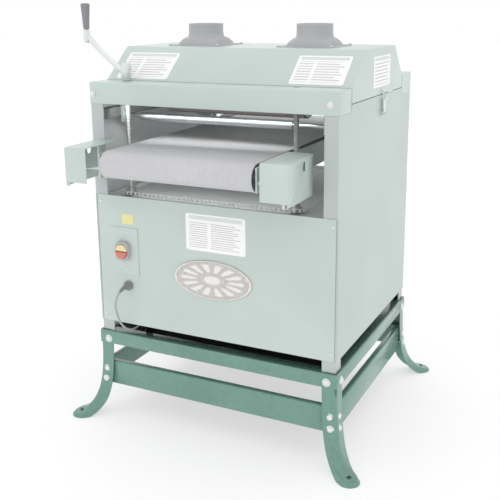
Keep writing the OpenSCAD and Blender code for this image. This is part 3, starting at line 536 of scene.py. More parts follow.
def piece(name, shape, mat, body, stands_for=(), sheet=0.0, inside=None, bevel=0.0, sharp=38.0,
          segments=2):
    """Makes one finished piece: welds the shape, turns its faces outwards, gives a sheet its thickness and
    rounds its edges, then sets its finish, its body and the nodes that it stands for."""
    points, faces = shape
    mesh = bpy.data.meshes.new(name)
    mesh.from_pydata(np.asarray(points, float).tolist(), [], [tuple(int(v) for v in f) for f in faces])
    work = bmesh.new()
    work.from_mesh(mesh)
    bmesh.ops.remove_doubles(work, verts=work.verts, dist=1e-6)
    bmesh.ops.dissolve_degenerate(work, edges=work.edges, dist=1e-7)
    bmesh.ops.recalc_face_normals(work, faces=work.faces)
    if inside is not None:
        lean = sum(f.calc_area() * f.normal.dot(f.calc_center_median() - Vector(inside)) for f in work.faces)
        if lean < 0:
            bmesh.ops.reverse_faces(work, faces=work.faces)
    work.to_mesh(mesh)
    work.free()
    made = bpy.data.objects.new(name, mesh)
    scene.collection.objects.link(made)
    if sheet:
        wall = made.modifiers.new("wall", "SOLIDIFY")
        wall.thickness, wall.offset, wall.use_even_offset = sheet, -1.0, True
    if bevel:
        edge = made.modifiers.new("edge", "BEVEL")
        edge.width, edge.segments, edge.limit_method = bevel, segments, "ANGLE"
        edge.angle_limit = math.radians(40)
    if sheet or bevel:
        done = bpy.data.meshes.new_from_object(made.evaluated_get(bpy.context.evaluated_depsgraph_get()))
        made.modifiers.clear()
        made.data = done
        done.name = name
    made.data.shade_smooth()
    made.data.set_sharp_from_angle(angle=math.radians(sharp))
    made.data.materials.clear()
    made.data.materials.append(mat)
    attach(made, body)
    if stands_for:
        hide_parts(*stands_for)
    return made


def corners(shape, spots=((-1, -1), (1, -1), (-1, 1), (1, 1))):
    """The same shape at mirrored corners of the part."""
    points, faces = shape
    return joined(*[(np.asarray(points) * (sx, sy, 1.0), faces) for sx, sy in spots])


ROOT = "stand_and_cabinet"


# ---------------------------------------------------------------- stand
def leg_flick(z):
    """Outward shift of a leg's ridge: a decaying exponential of the height."""
    return 0.057 * (np.exp(-z / 0.046) - math.exp(-0.208 / 0.046))


def leg_sheet(rows=60, columns=41):
    """Pressed leg of the rear right corner. The ridge runs down, flicks out and ends level over the floor bolt;
    across it the sheet is folded to a right angle, which opens until the foot is nearly flat, and the foot's rim
    turns down. Point = ridge + n * outward normal + b * level side, with n = -k (sqrt(b^2 + r^2) - r)."""
    z_top, z_bend, z_foot, tip_out = 0.242, 0.036, 0.0085, 0.0922
    foot_at, foot_r, half_width = 0.066, 0.0262, 0.0268
    upper = np.linspace(z_top, z_bend, rows // 2)
    out = math.sqrt(2) * np.clip(leg_flick(upper), 0, None)
    t = 1 - np.cos(np.linspace(0, np.pi / 2, rows - rows // 2 + 1))[1:]
    t = np.sin(t * np.pi / 2)
    start = np.array([out[-1], upper[-1]])
    knee = start + np.array([0.80, -1.0]) * (z_bend - z_foot)
    tip = np.array([tip_out, z_foot])
    lower = (1 - t)[:, None] ** 2 * start + 2 * (t * (1 - t))[:, None] * knee + t[:, None] ** 2 * tip
    ridge = np.concatenate([np.stack([out, upper], axis=1), lower])
    run = np.gradient(ridge, axis=0)
    run /= np.linalg.norm(run, axis=1)[:, None]
    lean_out, lean_up = -run[:, 1], run[:, 0]
    reach = ridge[:, 0]
    past = reach - foot_at
    width = np.where(past > 0, foot_r * np.sqrt(np.clip(1 - (past / foot_r) ** 2, 0, 1)), half_width)
    fold = 1 - smooth(reach, 0.030, 0.070)
    ease = 0.003 + 0.012 * smooth(reach, 0.02, 0.06)
    u = np.sin(np.linspace(-np.pi / 2, np.pi / 2, columns))
    b = width[:, None] * u
    n = -fold[:, None] * (np.sqrt(b ** 2 + ease[:, None] ** 2) - ease[:, None])
    far = np.where(past[:, None] > 0, foot_r - np.sqrt(past[:, None] ** 2 + b ** 2), width[:, None] - np.abs(b))
    drop = (1 - smooth(far, 0.0, 0.006)) * smooth(reach, 0.028, 0.056)[:, None]
    way = np.array([50.0, 43.0]) / math.hypot(50, 43)
    level = math.sqrt(0.5)
    x = LEG_X + way[0] * reach[:, None] + level * (n * lean_out[:, None] - b)
    y = LEG_Y + way[1] * reach[:, None] + level * (n * lean_out[:, None] + b)
    z = ridge[:, 1][:, None] + n * lean_up[:, None]
    z = z - drop * np.clip(z - 0.0032, 0, 0.012)
    points = np.stack([x, y, np.maximum(z, 0.0)], axis=-1)
    return points.reshape(-1, 3), grid_faces(len(ridge), columns)


def rails(name, x_face, y_face, low, top, lip, x_end, y_end, below):
    """Four folded angles in a frame: a face that stands from low to top, and a lip that turns inwards."""
    front = folded(filleted([(-y_face, low), (-y_face, top), (-y_face + lip, top)], 0.005), -x_end, x_end)
    side = folded(filleted([(x_face, low), (x_face, top), (x_face - lip, top)], 0.005), -y_end, y_end, "y")
    piece(name + "_folded", joined(corners(front, [(1, 1), (1, -1)]), corners(side, [(1, 1), (-1, 1)])),
          stand_green, ROOT, [name], sheet=STAND_SHEET, inside=(0, 0, below), bevel=0.0006, sharp=50)


def stand():
    """Four pressed legs with a floor bolt hole each, two frames of rails and their bolts."""
    leg = leg_sheet()
    hole = [(0.0, 0.0), (0.0053, 0.0), (0.0056, 0.0006), (0.0053, 0.001), (0, 0.001)]
    for sx, sy, node in ((-1, -1, "leg_front_left"), (1, -1, "leg_front_right"),
                         (-1, 1, "leg_rear_left"), (1, 1, "leg_rear_right")):
        piece("pressed_" + node, corners(leg, [(sx, sy)]), stand_green, ROOT, [node],
              sheet=STAND_SHEET, inside=(sx * 0.30, sy * 0.25, -0.02), bevel=0.0009, sharp=50)
        piece("floor_hole_" + node, turned(hole, (sx * 0.387, sy * 0.332, 0.0137), sides=24), black, ROOT)
    z_lower = 0.157
    inner = leg_flick(z_lower) - 0.0032
    rails("top_rails", RAIL_X, RAIL_Y, 0.2085, Z_STAND, 0.033, RAIL_X, RAIL_Y - 0.0034, 0.1)
    rails("lower_rails", LEG_X + inner, LEG_Y + inner, 0.0905, z_lower, 0.016, LEG_X - 0.006, LEG_Y - 0.024, 0.0)
    stand_fixings(inner)


def bolt(depth, radius=0.0078, rise=0.0052):
    """Domed head, washer and shank of a bolt along +Z, with a nut at its inner end, as (radius, height) lines."""
    a = np.linspace(0, np.pi / 2, 9)
    head = np.stack([radius * np.cos(a), 0.0012 + rise * np.sin(a)], axis=1)
    washer = [(0, -0.0004), (radius + 0.0026, -0.0004), (radius + 0.003, 0.0), (radius + 0.0026, 0.0012),
              (radius, 0.0012)]
    line = np.concatenate([washer, head[1:], [(0, 0.0012 + rise)]])
    shank = turned([(0, -depth - 0.0065), (0.003, -depth - 0.0065), (0.003, 0), (0, 0)], sides=12)
    nut = turned([(0, -depth - 0.0053), (0.0052, -depth - 0.0053), (0.0057, -depth - 0.0046),
                  (0.0057, -depth - 0.0006), (0.0052, -depth), (0, -depth)], sides=6)
    return joined(turned(line, sides=24), shank, nut)


def stand_fixings(inner):
    """One bolt above and two below on both faces of each leg; inner is how far the lower rails stand out."""
    made = []
    for height, inset, lead, depth in ((0.222, 0.024, 0.003, 0.0062), (0.133, 0.0165, 0.0, None),
                                       (0.103, 0.0165, 0.0, None)):
        side = max(0.0, float(leg_flick(height)))
        depth = depth or side - inner + 0.0035
        points, faces = bolt(depth)
        along_y = points[:, (0, 2, 1)] + (LEG_X + side - inset, LEG_Y + side + lead, height)
        along_x = points[:, (2, 1, 0)] + (LEG_X + side + lead, LEG_Y + side - inset, height)
        made += [(along_y, faces), (along_x, faces)]
    piece("stand_bolts_domed", corners(joined(*made)), zinc, ROOT, ["stand_bolts"])


stand()


# ---------------------------------------------------------------- cabinet and head beams
def cabinet():
    """Front panel, edges of the side panels, front beam, screws and the rear louvres."""
    sheet = rounded_block((-SEAM_X, -HALF_Y, Z_PANEL), (SEAM_X, -HALF_Y + 0.002, Z_FRONT), 0.00095)
    piece("front_panel_pressed", sheet, paint, ROOT, ["front_panel"])
    flange = rounded_block((SEAM_X + 0.0011, -HALF_Y + 0.0002, Z_PANEL), (HALF_X, -HALF_Y + 0.002, Z_FRONT), 0.0009)
    piece("side_panel_flanges", corners(flange, [(1, 1), (-1, 1)]), posts_paint, ROOT)
    wall = filleted([(-HALF_Y, Z_BEAM), (-HALF_Y, Z_LEDGE), (Y_LEDGE, Z_LEDGE), (Y_LEDGE, Z_LEDGE - 0.022)], 0.004)
    ends = []
    for x in (-HALF_X, HALF_X):
        line = facing("x", x, np.concatenate([wall, [(Y_LEDGE, Z_BEAM)]]))
        ends.append((line, [tuple(range(len(line)))]))
    piece("front_beam_folded", joined(folded(wall, -HALF_X, HALF_X), *ends), paint, ROOT, ["front_beam"],
          sheet=0.003, inside=(0, -0.25, 0.86), bevel=0.0012, sharp=50, segments=3)
    piece("panel_screws_domed", joined(*[domed_screw(x, z, 0.0042) for x, z in
                                         ((-0.318, 0.2935), (0.322, 0.2935), (-0.318, 0.6035), (0.322, 0.6035))],
                                       *[hex_bolt(x, 0.880) for x in (-0.325, 0.312)]),
          zinc, ROOT, ["panel_screws"])
    half, rise, deep, pitch = 0.1, 0.0095, 0.0065, 0.014
    x, a = np.linspace(-half, half, 41), np.linspace(0, np.pi / 2, 8)
    swell = deep * np.sqrt(np.clip(1 - np.abs(x / half) ** 8, 0, 1))
    louvres = []
    for i in range(8):
        y = HALF_Y + swell[:, None] * np.sin(a)[None, :]
        z = Z_PANEL + 0.0575 + i * pitch + rise * np.cos(a)[None, :] + 0 * swell[:, None]
        louvres.append((np.stack([x[:, None] + 0 * y, y, z], axis=-1).reshape(-1, 3), grid_faces(len(x), len(a))))
    piece("rear_louvres", joined(*louvres), paint, ROOT, sheet=0.0012, inside=(0, 0.2, 0.4))


def domed_screw(x, z, radius=0.0066):
    """Cross-recessed dome on the front face."""
    a = np.linspace(0, np.pi / 2, 8)
    dome = [(radius * c, 0.0034 * s) for c, s in zip(np.cos(a), np.sin(a))][:-2]
    points, faces = turned([(0, 0.0)] + dome + [(0.0016, 0.0031), (0, 0.0019)], sides=24)
    return points[:, (0, 2, 1)] * (1, -1, 1) + (x, -HALF_Y, z), faces


def hex_bolt(x, z):
    """Hexagon head on a washer on the front face of the beam."""
    washer = turned([(0, 0), (0.0082, 0), (0.0084, 0.0006), (0.0082, 0.0012), (0, 0.0012)], sides=28)
    head = turned([(0, 0.0012), (0.0062, 0.0012), (0.0062, 0.004), (0.0052, 0.0048), (0, 0.0048)], sides=6)
    points, faces = joined(washer, head)
    return points[:, (0, 2, 1)] * (1, -1, 1) + (x, -HALF_Y, z), faces


cabinet()


# ---------------------------------------------------------------- hood
def hood_line(radius=0.007):
    """Outline of the hood's folded sheet in (y, z), from its front edge over the top to its rear edge."""
    return filleted([(Y_LEDGE + 0.0005, Z_LEDGE + 0.0005), (HOOD_Y0, Z_HOOD), (HOOD_Y1, Z_HOOD),
                     (Y_REAR_LEDGE - 0.0005, Z_LEDGE + 0.0005)], radius)


def hood():
    """Folded shell with two port holes and flat ends, its hinge leaves, its latch strikes and the ports."""
    line = hood_line()
    top = np.flatnonzero(np.abs(line[:, 1] - Z_HOOD) < 1e-6)
    first, last = top[0], top[-1]
    edge, port_x, half, hole_r = 0.004, 0.158, 0.085, 0.046
    port_y, end = (HOOD_Y0 + HOOD_Y1) / 2, HALF_X - edge
    parts = [folded(line[:first + 1], -end, end), folded(line[last:], -end, end)]
    y0, y1 = line[first][0], line[last][0]
    a = np.linspace(0, 2 * np.pi, 64, endpoint=False) + np.pi / 4
    c, s = np.cos(a), np.sin(a)
    box = np.stack([c, s], axis=1) / np.maximum(np.abs(c), np.abs(s))[:, None]
    cuts = [-end, -port_x - half, -port_x + half, port_x - half, port_x + half, end]
    for k, (x0, x1) in enumerate(zip(cuts, cuts[1:])):
        if k in (1, 3):
            x = (x0 + x1) / 2
            outer = np.stack([x + box[:, 0] * half, (y0 + y1) / 2 + box[:, 1] * (y1 - y0) / 2], axis=1)
            inner = np.stack([x + hole_r * c, port_y + hole_r * s], axis=1)
            parts.append(pierced(outer, inner, "z", Z_HOOD))
        else:
            flat = np.array([(x0, y0), (x1, y0), (x1, y1), (x0, y1)])
            parts.append((facing("z", Z_HOOD, flat), [(0, 1, 2, 3)]))
    for s in (-1, 1):
        rings = rounded_end(line, s * HALF_X, s, edge)
        parts.append((np.concatenate(rings), grid_faces(len(rings), len(line))))
        rim = rings[-1][:, 1:]
        skirt = np.array([(rim[-1][0], Z_SKIRT), (rim[0][0], Z_SKIRT)])
        plate = facing("x", s * HALF_X, np.concatenate([rim, skirt]))
        parts.append((plate, [tuple(range(len(plate)))]))
    piece("hood_folded", joined(*parts), paint, "hood", ["hood_shell"], sheet=0.002,
          inside=(0, 0, 0.88), sharp=50)
    wide = 0.009
    barrel = [(0.0026, -wide), (0.0046, -wide), (0.0046, wide), (0.0026, wide), (0.0026, -wide)]
    leaf = np.array([(0.2015, 0.9194), (0.1985, 0.9175), (0.187, 0.9225), (0.187, 0.9268)])
    knuckles = []
    for x in (-0.203, -0.157, 0.157, 0.203):
        knuckles.append(turned(barrel, (x, 0.203, 0.9154), "x", 24))
        knuckles.append((np.concatenate([facing("x", x - wide, leaf), facing("x", x + wide, leaf)]), capped(2, 4)))
    piece("hood_hinge_leaves", joined(*knuckles), paint, "hood")
    strike = rounded_block((HALF_X - 0.0002, 0.011, Z_SKIRT + 0.001), (HALF_X + 0.0025, 0.025, Z_SKIRT + 0.012),
                           0.0009)
    piece("hood_strikes", corners(strike, [(-1, 1), (1, 1)]), zinc, "hood")
    for s, node in ((-1, "dust_port_left"), (1, "dust_port_right")):
        dust_port(s * port_x, port_y, node)


def dust_port(x, y, node):
    """Moulded port: a square flange, a waist that changes from a square to a circle as it rises, a beaded spigot
    and a bore. Outline at each height = power oval whose exponent falls from 12 to 2."""
    count = 72
    rise = [(0.0, 0.0775, 16), (0.0016, 0.0775, 16), (0.0023, 0.0770, 16), (0.0025, 0.0590, 12),
            (0.0045, 0.0583, 11), (0.0100, 0.0560, 8.0), (0.0150, 0.0535, 5.4), (0.0185, 0.0515, 3.8),
            (0.0208, 0.0500, 2.7), (0.0220, 0.0490, 2.1), (0.0232, 0.0486, 2.0), (0.032, 0.0467, 2.0),
            (0.0515, 0.0463, 2.0), (0.0530, 0.0468, 2.0), (0.0550, 0.0468, 2.0), (0.0565, 0.0462, 2.0),
            (0.0570, 0.0450, 2.0), (0.0560, 0.0431, 2.0), (0.0, 0.0430, 2.0)]
    rings = np.stack([facing("z", h, oval(2 * r, 2 * r, count, n)) for h, r, n in rise + [rise[0]]])
    shape = ((rings + (x, y, Z_HOOD)).reshape(-1, 3), grid_faces(len(rings), count, wrap=True))
    piece(node + "_moulded", shape, port_grey, "hood", [node], sharp=34)
    cap = [(0, 0.0028), (0.0038, 0.0028), (0.0038, 0.0038), (0.0026, 0.0052), (0.001, 0.0055), (0, 0.0045)]
    caps = [turned(cap, (x + sx * 0.0710, y + sy * 0.0710, Z_HOOD), sides=20) for sx in (-1, 1) for sy in (-1, 1)]
    piece(node + "_screws", joined(*caps), zinc, "hood")


hood()


# ---------------------------------------------------------------- feed table
def belt_band():
    """Endless band round both rollers: a stadium path in (y, z), with round edges across its thickness."""
    turn = np.linspace(-np.pi / 2, np.pi / 2, 33)
    run = np.linspace(0, 1, 25)[1:-1]

    def loop(r):
        right = np.stack([FEED_Y + r * np.cos(turn), Z_FEED + r * np.sin(turn)], axis=1)
        top = np.stack([FEED_Y - 2 * FEED_Y * run, Z_FEED + r + 0 * run], axis=1)
        left = np.stack([-FEED_Y - r * np.cos(turn), Z_FEED - r * np.sin(turn)], axis=1)
        low = np.stack([-FEED_Y + 2 * FEED_Y * run, Z_FEED - r + 0 * run], axis=1)
        return np.concatenate([right, top, left, low])

    soft = 0.0007
    across = [(BELT_X0, BELT_IN + soft), (BELT_X0, BELT_OUT - soft), (BELT_X0 + soft * 0.3, BELT_OUT - soft * 0.3),
              (BELT_X0 + soft, BELT_OUT), (BELT_X1 - soft, BELT_OUT), (BELT_X1 - soft * 0.3, BELT_OUT - soft * 0.3),
              (BELT_X1, BELT_OUT - soft), (BELT_X1, BELT_IN + soft), (BELT_X1 - soft, BELT_IN),
              (BELT_X0 + soft, BELT_IN)]
    rings = np.stack([facing("x", x, loop(r)) for x, r in across + across[:1]])
    return rings.reshape(-1, 3), grid_faces(len(rings), rings.shape[1], wrap=True)


def cover(x_out, s, node):
    """Folded cover: a front and a top in one folded sheet, rounded into an outer side with an oval hole."""
    y0, y1, top, low = -0.421, -0.268, 0.766, 0.680
    edge, z_low = 0.004, 0.670
    x_in, x_edge = x_out - s * 0.064, x_out - s * edge
    x_cut, y_post = -0.294, -0.290
    y_end = y_post if node == "left_cover" else y1
    line = dense(filleted([(y0, low), (y0, top), (y_end, top)], 0.006, 6), 0.005)
    if node == "left_cover":
        back = facing("z", top, np.array([(x_cut, y_post), (x_in, y_post), (x_in, y1), (x_cut, y1)]))
        parts = [folded(line, x_edge, x_cut), folded(line, x_cut, x_in), (back, [(0, 1, 2, 3)])]
    else:
        parts = [folded(line, x_edge, x_in)]
    rings = rounded_end(line, x_out, s, edge)
    parts.append((np.concatenate(rings), grid_faces(len(rings), len(line))))
    first, last = rings[-1][0, 1:], rings[-1][-1, 1:]
    lower = dense(np.array([last, (y_end, z_low), (first[0], z_low), first]), 0.005)
    rim = np.concatenate([rings[-1][:, 1:], lower[1:-1]])
    hole_middle = np.array([-0.323, 0.746])
    angle = np.arctan2(rim[:, 1] - hole_middle[1], rim[:, 0] - hole_middle[0])
    slot_hole = hole_middle + np.stack([0.008 * np.cos(angle), 0.012 * np.sin(angle)], axis=1)
    parts.append(pierced(rim, slot_hole, "x", x_out))
    x_tab = x_out - s * 0.012
    tab = np.array([(x_edge, z_low), (x_tab, z_low), (x_tab, low), (x_edge, low)])
    parts.append((facing("y", y0, tab), [(0, 1, 2, 3)]))
    piece(node + "_folded", joined(*parts), paint, "feed_table", [node], sheet=0.0015,
          inside=(x_in + s * 0.01, -0.30, 0.69), bevel=0.0004, sharp=50)


def table():
    """Feed belt, the two end covers and the bolts on the outside of the side plates."""
    piece("feed_belt_band", belt_band(), belt_cloth, "feed_table", ["feed_belt"], sharp=50)
    cover(-0.321, -1, "left_cover")
    cover(0.266, 1, "right_cover")
    head = [(0, 0), (0.0062, 0), (0.0062, 0.0032), (0.0054, 0.004), (0, 0.004)]
    fixings = []
    for x in (SIDE_L - 0.0002, SIDE_R + SIDE_SHEET + 0.0002):
        s = -1 if x < 0 else 1
        for y in (-0.335, -0.19, 0.19, 0.335):
            points, faces = turned(head, sides=6)
            fixings.append((points[:, (2, 1, 0)] * (s, 1, 1) + (x, y, Z_FEED + 0.016), faces))
    piece("table_side_bolts", joined(*fixings), zinc, "feed_table")


# ---------------------------------------------------------------- crank
def crank():
    """Hub on the front left lift screw, curved flat arm, boss with its stud, and the tapered grip."""
    hub_x, hub_y = SCREWS[0]
    arm_z, reach, rise = Z_LEDGE + 0.018, 0.117, 0.094
    hub = turned([(0.0066, 0.001), (0.0112, 0.001), (0.012, 0.002), (0.012, 0.042), (0.0112, 0.0445), (0.009, 0.045),
                  (0.0066, 0.045), (0.0066, 0.001)], (hub_x, hub_y, Z_LEDGE), sides=40)
    t = np.linspace(0, 1, 40)
    bend = 0.006 * np.sin(np.pi * t)
    path = np.stack([hub_x - reach * t, hub_y + 0 * t, arm_z + rise * t - bend], axis=1)
    arm = swept(path, 0.0044 - 0.0004 * np.sin(np.pi * t), 24, 1.9)
    end_x, end_z = hub_x - reach, arm_z + rise
    boss = turned([(0.0041, -0.015), (0.0075, -0.015), (0.0085, -0.0138), (0.0085, 0.0128), (0.0075, 0.014),
                   (0.0041, 0.014), (0.0041, -0.015)], (end_x, hub_y, end_z), sides=32)
    screw = turned([(0, 0.011), (0.003, 0.011), (0.003, 0.0148), (0.0018, 0.0150), (0.0018, 0.0138), (0, 0.0138)],
                   (hub_x, hub_y, Z_LEDGE + 0.030), "x", 6)
    piece("crank_arm_cast", joined(hub, arm, boss, screw), crank_metal, "crank_screw", ["crank_arm"],
          sharp=40)
    h = np.linspace(0.0, 1.0, 26)
    radius = 0.0078 + 0.0037 * h ** 1.2
    body = [(0.0, 0.0155), (0.0062, 0.0155), (0.0076, 0.0165)]
    body += [(float(r), float(0.0168 + 0.0572 * v)) for v, r in zip(h, radius)]
    body += [(0.01145, 0.0762), (0.0110, 0.0788), (0.0094, 0.0803), (0.0050, 0.0809), (0.0, 0.0809)]
    grip = turned(body, (end_x, hub_y, end_z), sides=40)
    stud = turned([(0, -0.019), (0.0055, -0.019), (0.0062, -0.0183), (0.0062, -0.0158), (0.004, -0.0155),
                   (0.004, 0.018), (0, 0.018)], (end_x, hub_y, end_z), sides=24)
    piece("crank_grip_turned", grip, grip_grey, "crank_grip", ["crank_grip"], sharp=40)
    piece("crank_grip_stud", stud, zinc, "crank_grip", sharp=40)


crank()


# ---------------------------------------------------------------- switch, badge and plates
def pad(outline, y_back, y_front, soft):
    """A cushion-edged pad on the front face: its outline at the back, drawn in by soft (1 - cos a) in front."""
    outline = np.asarray(outline, float)
    middle = outline.mean(axis=0)
    size = np.abs(outline - middle).max()
    a = np.linspace(0, np.pi / 2, 6)
    levels = [(y_back, 1.0)] + [(y_front + soft * (1 - math.sin(t)), 1 - soft / size * (1 - math.cos(t))) for t in a]
    rings = [facing("y", y, middle + (outline - middle) * share) for y, share in levels]
    return np.concatenate(rings), capped(len(rings), len(outline))


def half_disc(x, z, radius, upper):
    """Half of a round button, with its straight side level and its two corners eased."""
    a = np.radians(np.linspace(7, 173, 34))
    s = 1 if upper else -1
    arc = np.stack([x + radius * np.cos(a), z + s * radius * np.sin(a)], axis=1)
    flat = [(x - radius * 0.985, z + s * 0.0004), (x - radius * 0.96, z), (x + radius * 0.96, z),
            (x + radius * 0.985, z + s * 0.0004)]
    return np.concatenate([arc, flat])


def front_fittings():
    """Switch housing with its two half-round buttons, and the plate above and below them."""
    x, z = SWITCH
    count = 48
    seat = -HALF_Y - 0.002
    steps = [(seat, 0.040, 0.050, 4.0), (seat - 0.0115, 0.0397, 0.0496, 4.0),
             (seat - 0.0132, 0.0390, 0.0482, 3.6), (seat - 0.014, 0.0384, 0.0450, 3.0),
             (seat - 0.014, 0.0378, 0.0392, 2.0), (seat - 0.0132, 0.0372, 0.0386, 2.0),
             (seat - 0.004, 0.0370, 0.0384, 2.0), (seat - 0.0038, 0.0010, 0.0010, 2.0)]
    rings = np.stack([facing("y", y, oval(w, h, count, n) + (x, z)) for y, w, h, n in steps])
    piece("switch_housing_moulded", (rings.reshape(-1, 3), capped(len(steps), count, low=False)), switch_grey,
          ROOT, ["switch_housing"])
    piece("start_button_moulded", pad(half_disc(x, z + 0.0010, 0.0174, True), seat - 0.0095, seat - 0.017, 0.0022),
          yellow_plastic, "start_button", ["start_button"])
    piece("stop_paddle_moulded", pad(half_disc(x, z - 0.0010, 0.0174, False), seat - 0.0115, seat - 0.019, 0.0022),
          red_plastic, "stop_paddle", ["stop_paddle"])
    plate = rounded_block((-0.294, -HALF_Y - 0.002, 0.411), (-0.208, -HALF_Y, 0.539), 0.0009)
    dots = [domed_screw(px, pz, 0.0034) for px, pz in ((-0.2415, 0.526), (-0.2415, 0.428))]
    piece("control_plate_pressed", plate, paint, ROOT, ["control_plate"])
    moved = [(p - (0, 0.002, 0), f) for p, f in dots]
    piece("control_plate_screws", joined(*moved), zinc, ROOT)


def badge():
    """Oval cast badge: a beaded rim round a shallow dish with a rosette of soft petals."""
    share = np.concatenate([np.linspace(0.02, 0.9, 46), np.linspace(0.91, 1.0, 14)])[:, None]
    a = np.linspace(0, 2 * np.pi, 160, endpoint=False)[None, :]
    rim = 0.0016 * np.exp(-((share - 0.955) / 0.022) ** 2)
    petals = 0.0016 * np.cos(7 * a) ** 2 * smooth(share, 0.30, 0.50) * (1 - smooth(share, 0.74, 0.86))
    boss = 0.0014 * (1 - smooth(share, 0.16, 0.27)) + 0.0008 * np.exp(-((share - 0.29) / 0.015) ** 2)
    height = 0.0026 + rim + petals + boss
    height = np.where(share > 0.985, height * np.sqrt(np.clip((1 - share) / 0.015, 0, 1)), height)
    x_mid, z_mid, half_width, half_height = 0.008, 0.432, 0.110, 0.051
    x = x_mid + half_width * share * np.cos(a)
    z = z_mid + half_height * share * np.sin(a)
    points = np.stack([x, -HALF_Y - height, z], axis=-1).reshape(-1, 3)
    piece("badge_cast", (points, capped(len(share), a.shape[1], high=False)), badge_metal, ROOT, ["badge_plate"],
          inside=(x_mid, 0, z_mid), sharp=60)


def label(name, origin, across, up, mat, body, stands_for=(), lift=0.0008):
    """Thin plate with round corners on a face; its own map runs from 0 to 1 along both of its sides."""
    origin, across, up = (np.asarray(v, float) for v in (origin, across, up))
    width, height = np.linalg.norm(across), np.linalg.norm(up)
    out = np.cross(across, up) / width / height
    outline = oval(width, height, 96, 36.0)
    middle = origin + (across + up) / 2
    at = middle + outline[:, :1] * across / width + outline[:, 1:] * up / height
    inner = middle + 0.985 * (at - middle)
    points = np.concatenate([at + out * 0.0001, at + out * lift * 0.7, inner + out * lift])
    mesh = piece(name, (points, capped(3, len(outline))), mat, body, stands_for).data
    place = np.zeros(len(mesh.vertices) * 3)
    mesh.vertices.foreach_get("co", place)
    place = place.reshape(-1, 3) - origin
    uv = np.stack([place @ across / width ** 2, place @ up / height ** 2], axis=1)
    corner = np.zeros(len(mesh.loops), int)
    mesh.loops.foreach_get("vertex_index", corner)
    mesh.uv_layers.new(name="label_map").data.foreach_set("uv", uv[corner].ravel())


def ruled_label(name, rows, split, header):
    """Printed film without any lettering: a pale header band and faint ragged rules in two columns."""
    f = Finish(name, srgb(250, 250, 249), 0.42)
    own_map = Wire(f, f.node("ShaderNodeUVMap", {"uv_map": "label_map"}).outputs[0])
    at = f.node("ShaderNodeSeparateXYZ", None, {0: own_map})
    u, v = Wire(f, at.outputs[0]), Wire(f, at.outputs[1])
    row = (v * rows).maths("FRACT", v * rows)
    rule = row.above(0.62)
    inside = u.above(0.06) * (1 - u.above(0.94)) * v.above(0.08) * (1 - v.above(0.80))
    gutter = 1 - u.above(split - 0.03) * (1 - u.above(split + 0.03))
    line_no = (v * rows).maths("FLOOR", v * rows)
    ragged = (line_no * 2.4).sine() * 0.06 + 0.86
    ends = 1 - u.above(ragged)
    ink = rule * inside * gutter * ends
    band = v.above(0.85) * (1 - v.above(0.95)) * u.above(0.05) * (1 - u.above(0.95))
    film = f.mix(ink * 0.55, srgb(250, 250, 249), srgb(150, 154, 156))
    f.set("Base Color", f.mix(band * 0.8, film, header))
    f.bump(f.noise(900.0, 2.0), 0.05, 0.0002)
    return f.mat


def plates():
    """Blank plates: two on the front, two on the hood's slope and one on its right side."""
    face = -HALF_Y
    data = ruled_label("data_film", 17.0, 0.40, srgb(214, 222, 218))
    note = ruled_label("note_film", 11.0, 0.36, srgb(205, 214, 214))
    side = ruled_label("side_film", 9.0, -1.0, srgb(205, 214, 214))
    label("front_data_plate", (-0.0645, face, 0.504), (0.165, 0, 0), (0, 0, 0.0945), data, ROOT, ["label_plates"])
    label("front_small_plate", (-0.2555, face, 0.549), (0.036, 0, 0), (0, 0, 0.026), small_plate, ROOT)
    slope = np.array([0.0, HOOD_Y0 - Y_LEDGE, Z_HOOD - Z_LEDGE])
    slope /= np.linalg.norm(slope)
    low = np.array([0.0, Y_LEDGE + 0.0005, Z_LEDGE + 0.0005])
    label("hood_left_plate", low + (-0.308, 0, 0) + slope * 0.006, (0.152, 0, 0), slope * 0.096, note, "hood",
          ["hood_labels"])
    label("hood_right_plate", low + (0.176, 0, 0) + slope * 0.006, (0.135, 0, 0), slope * 0.096, note, "hood")
    label("hood_side_plate", (HALF_X, -0.055, 0.894), (0, 0.137, 0), (0, 0, 0.076), side, "hood")


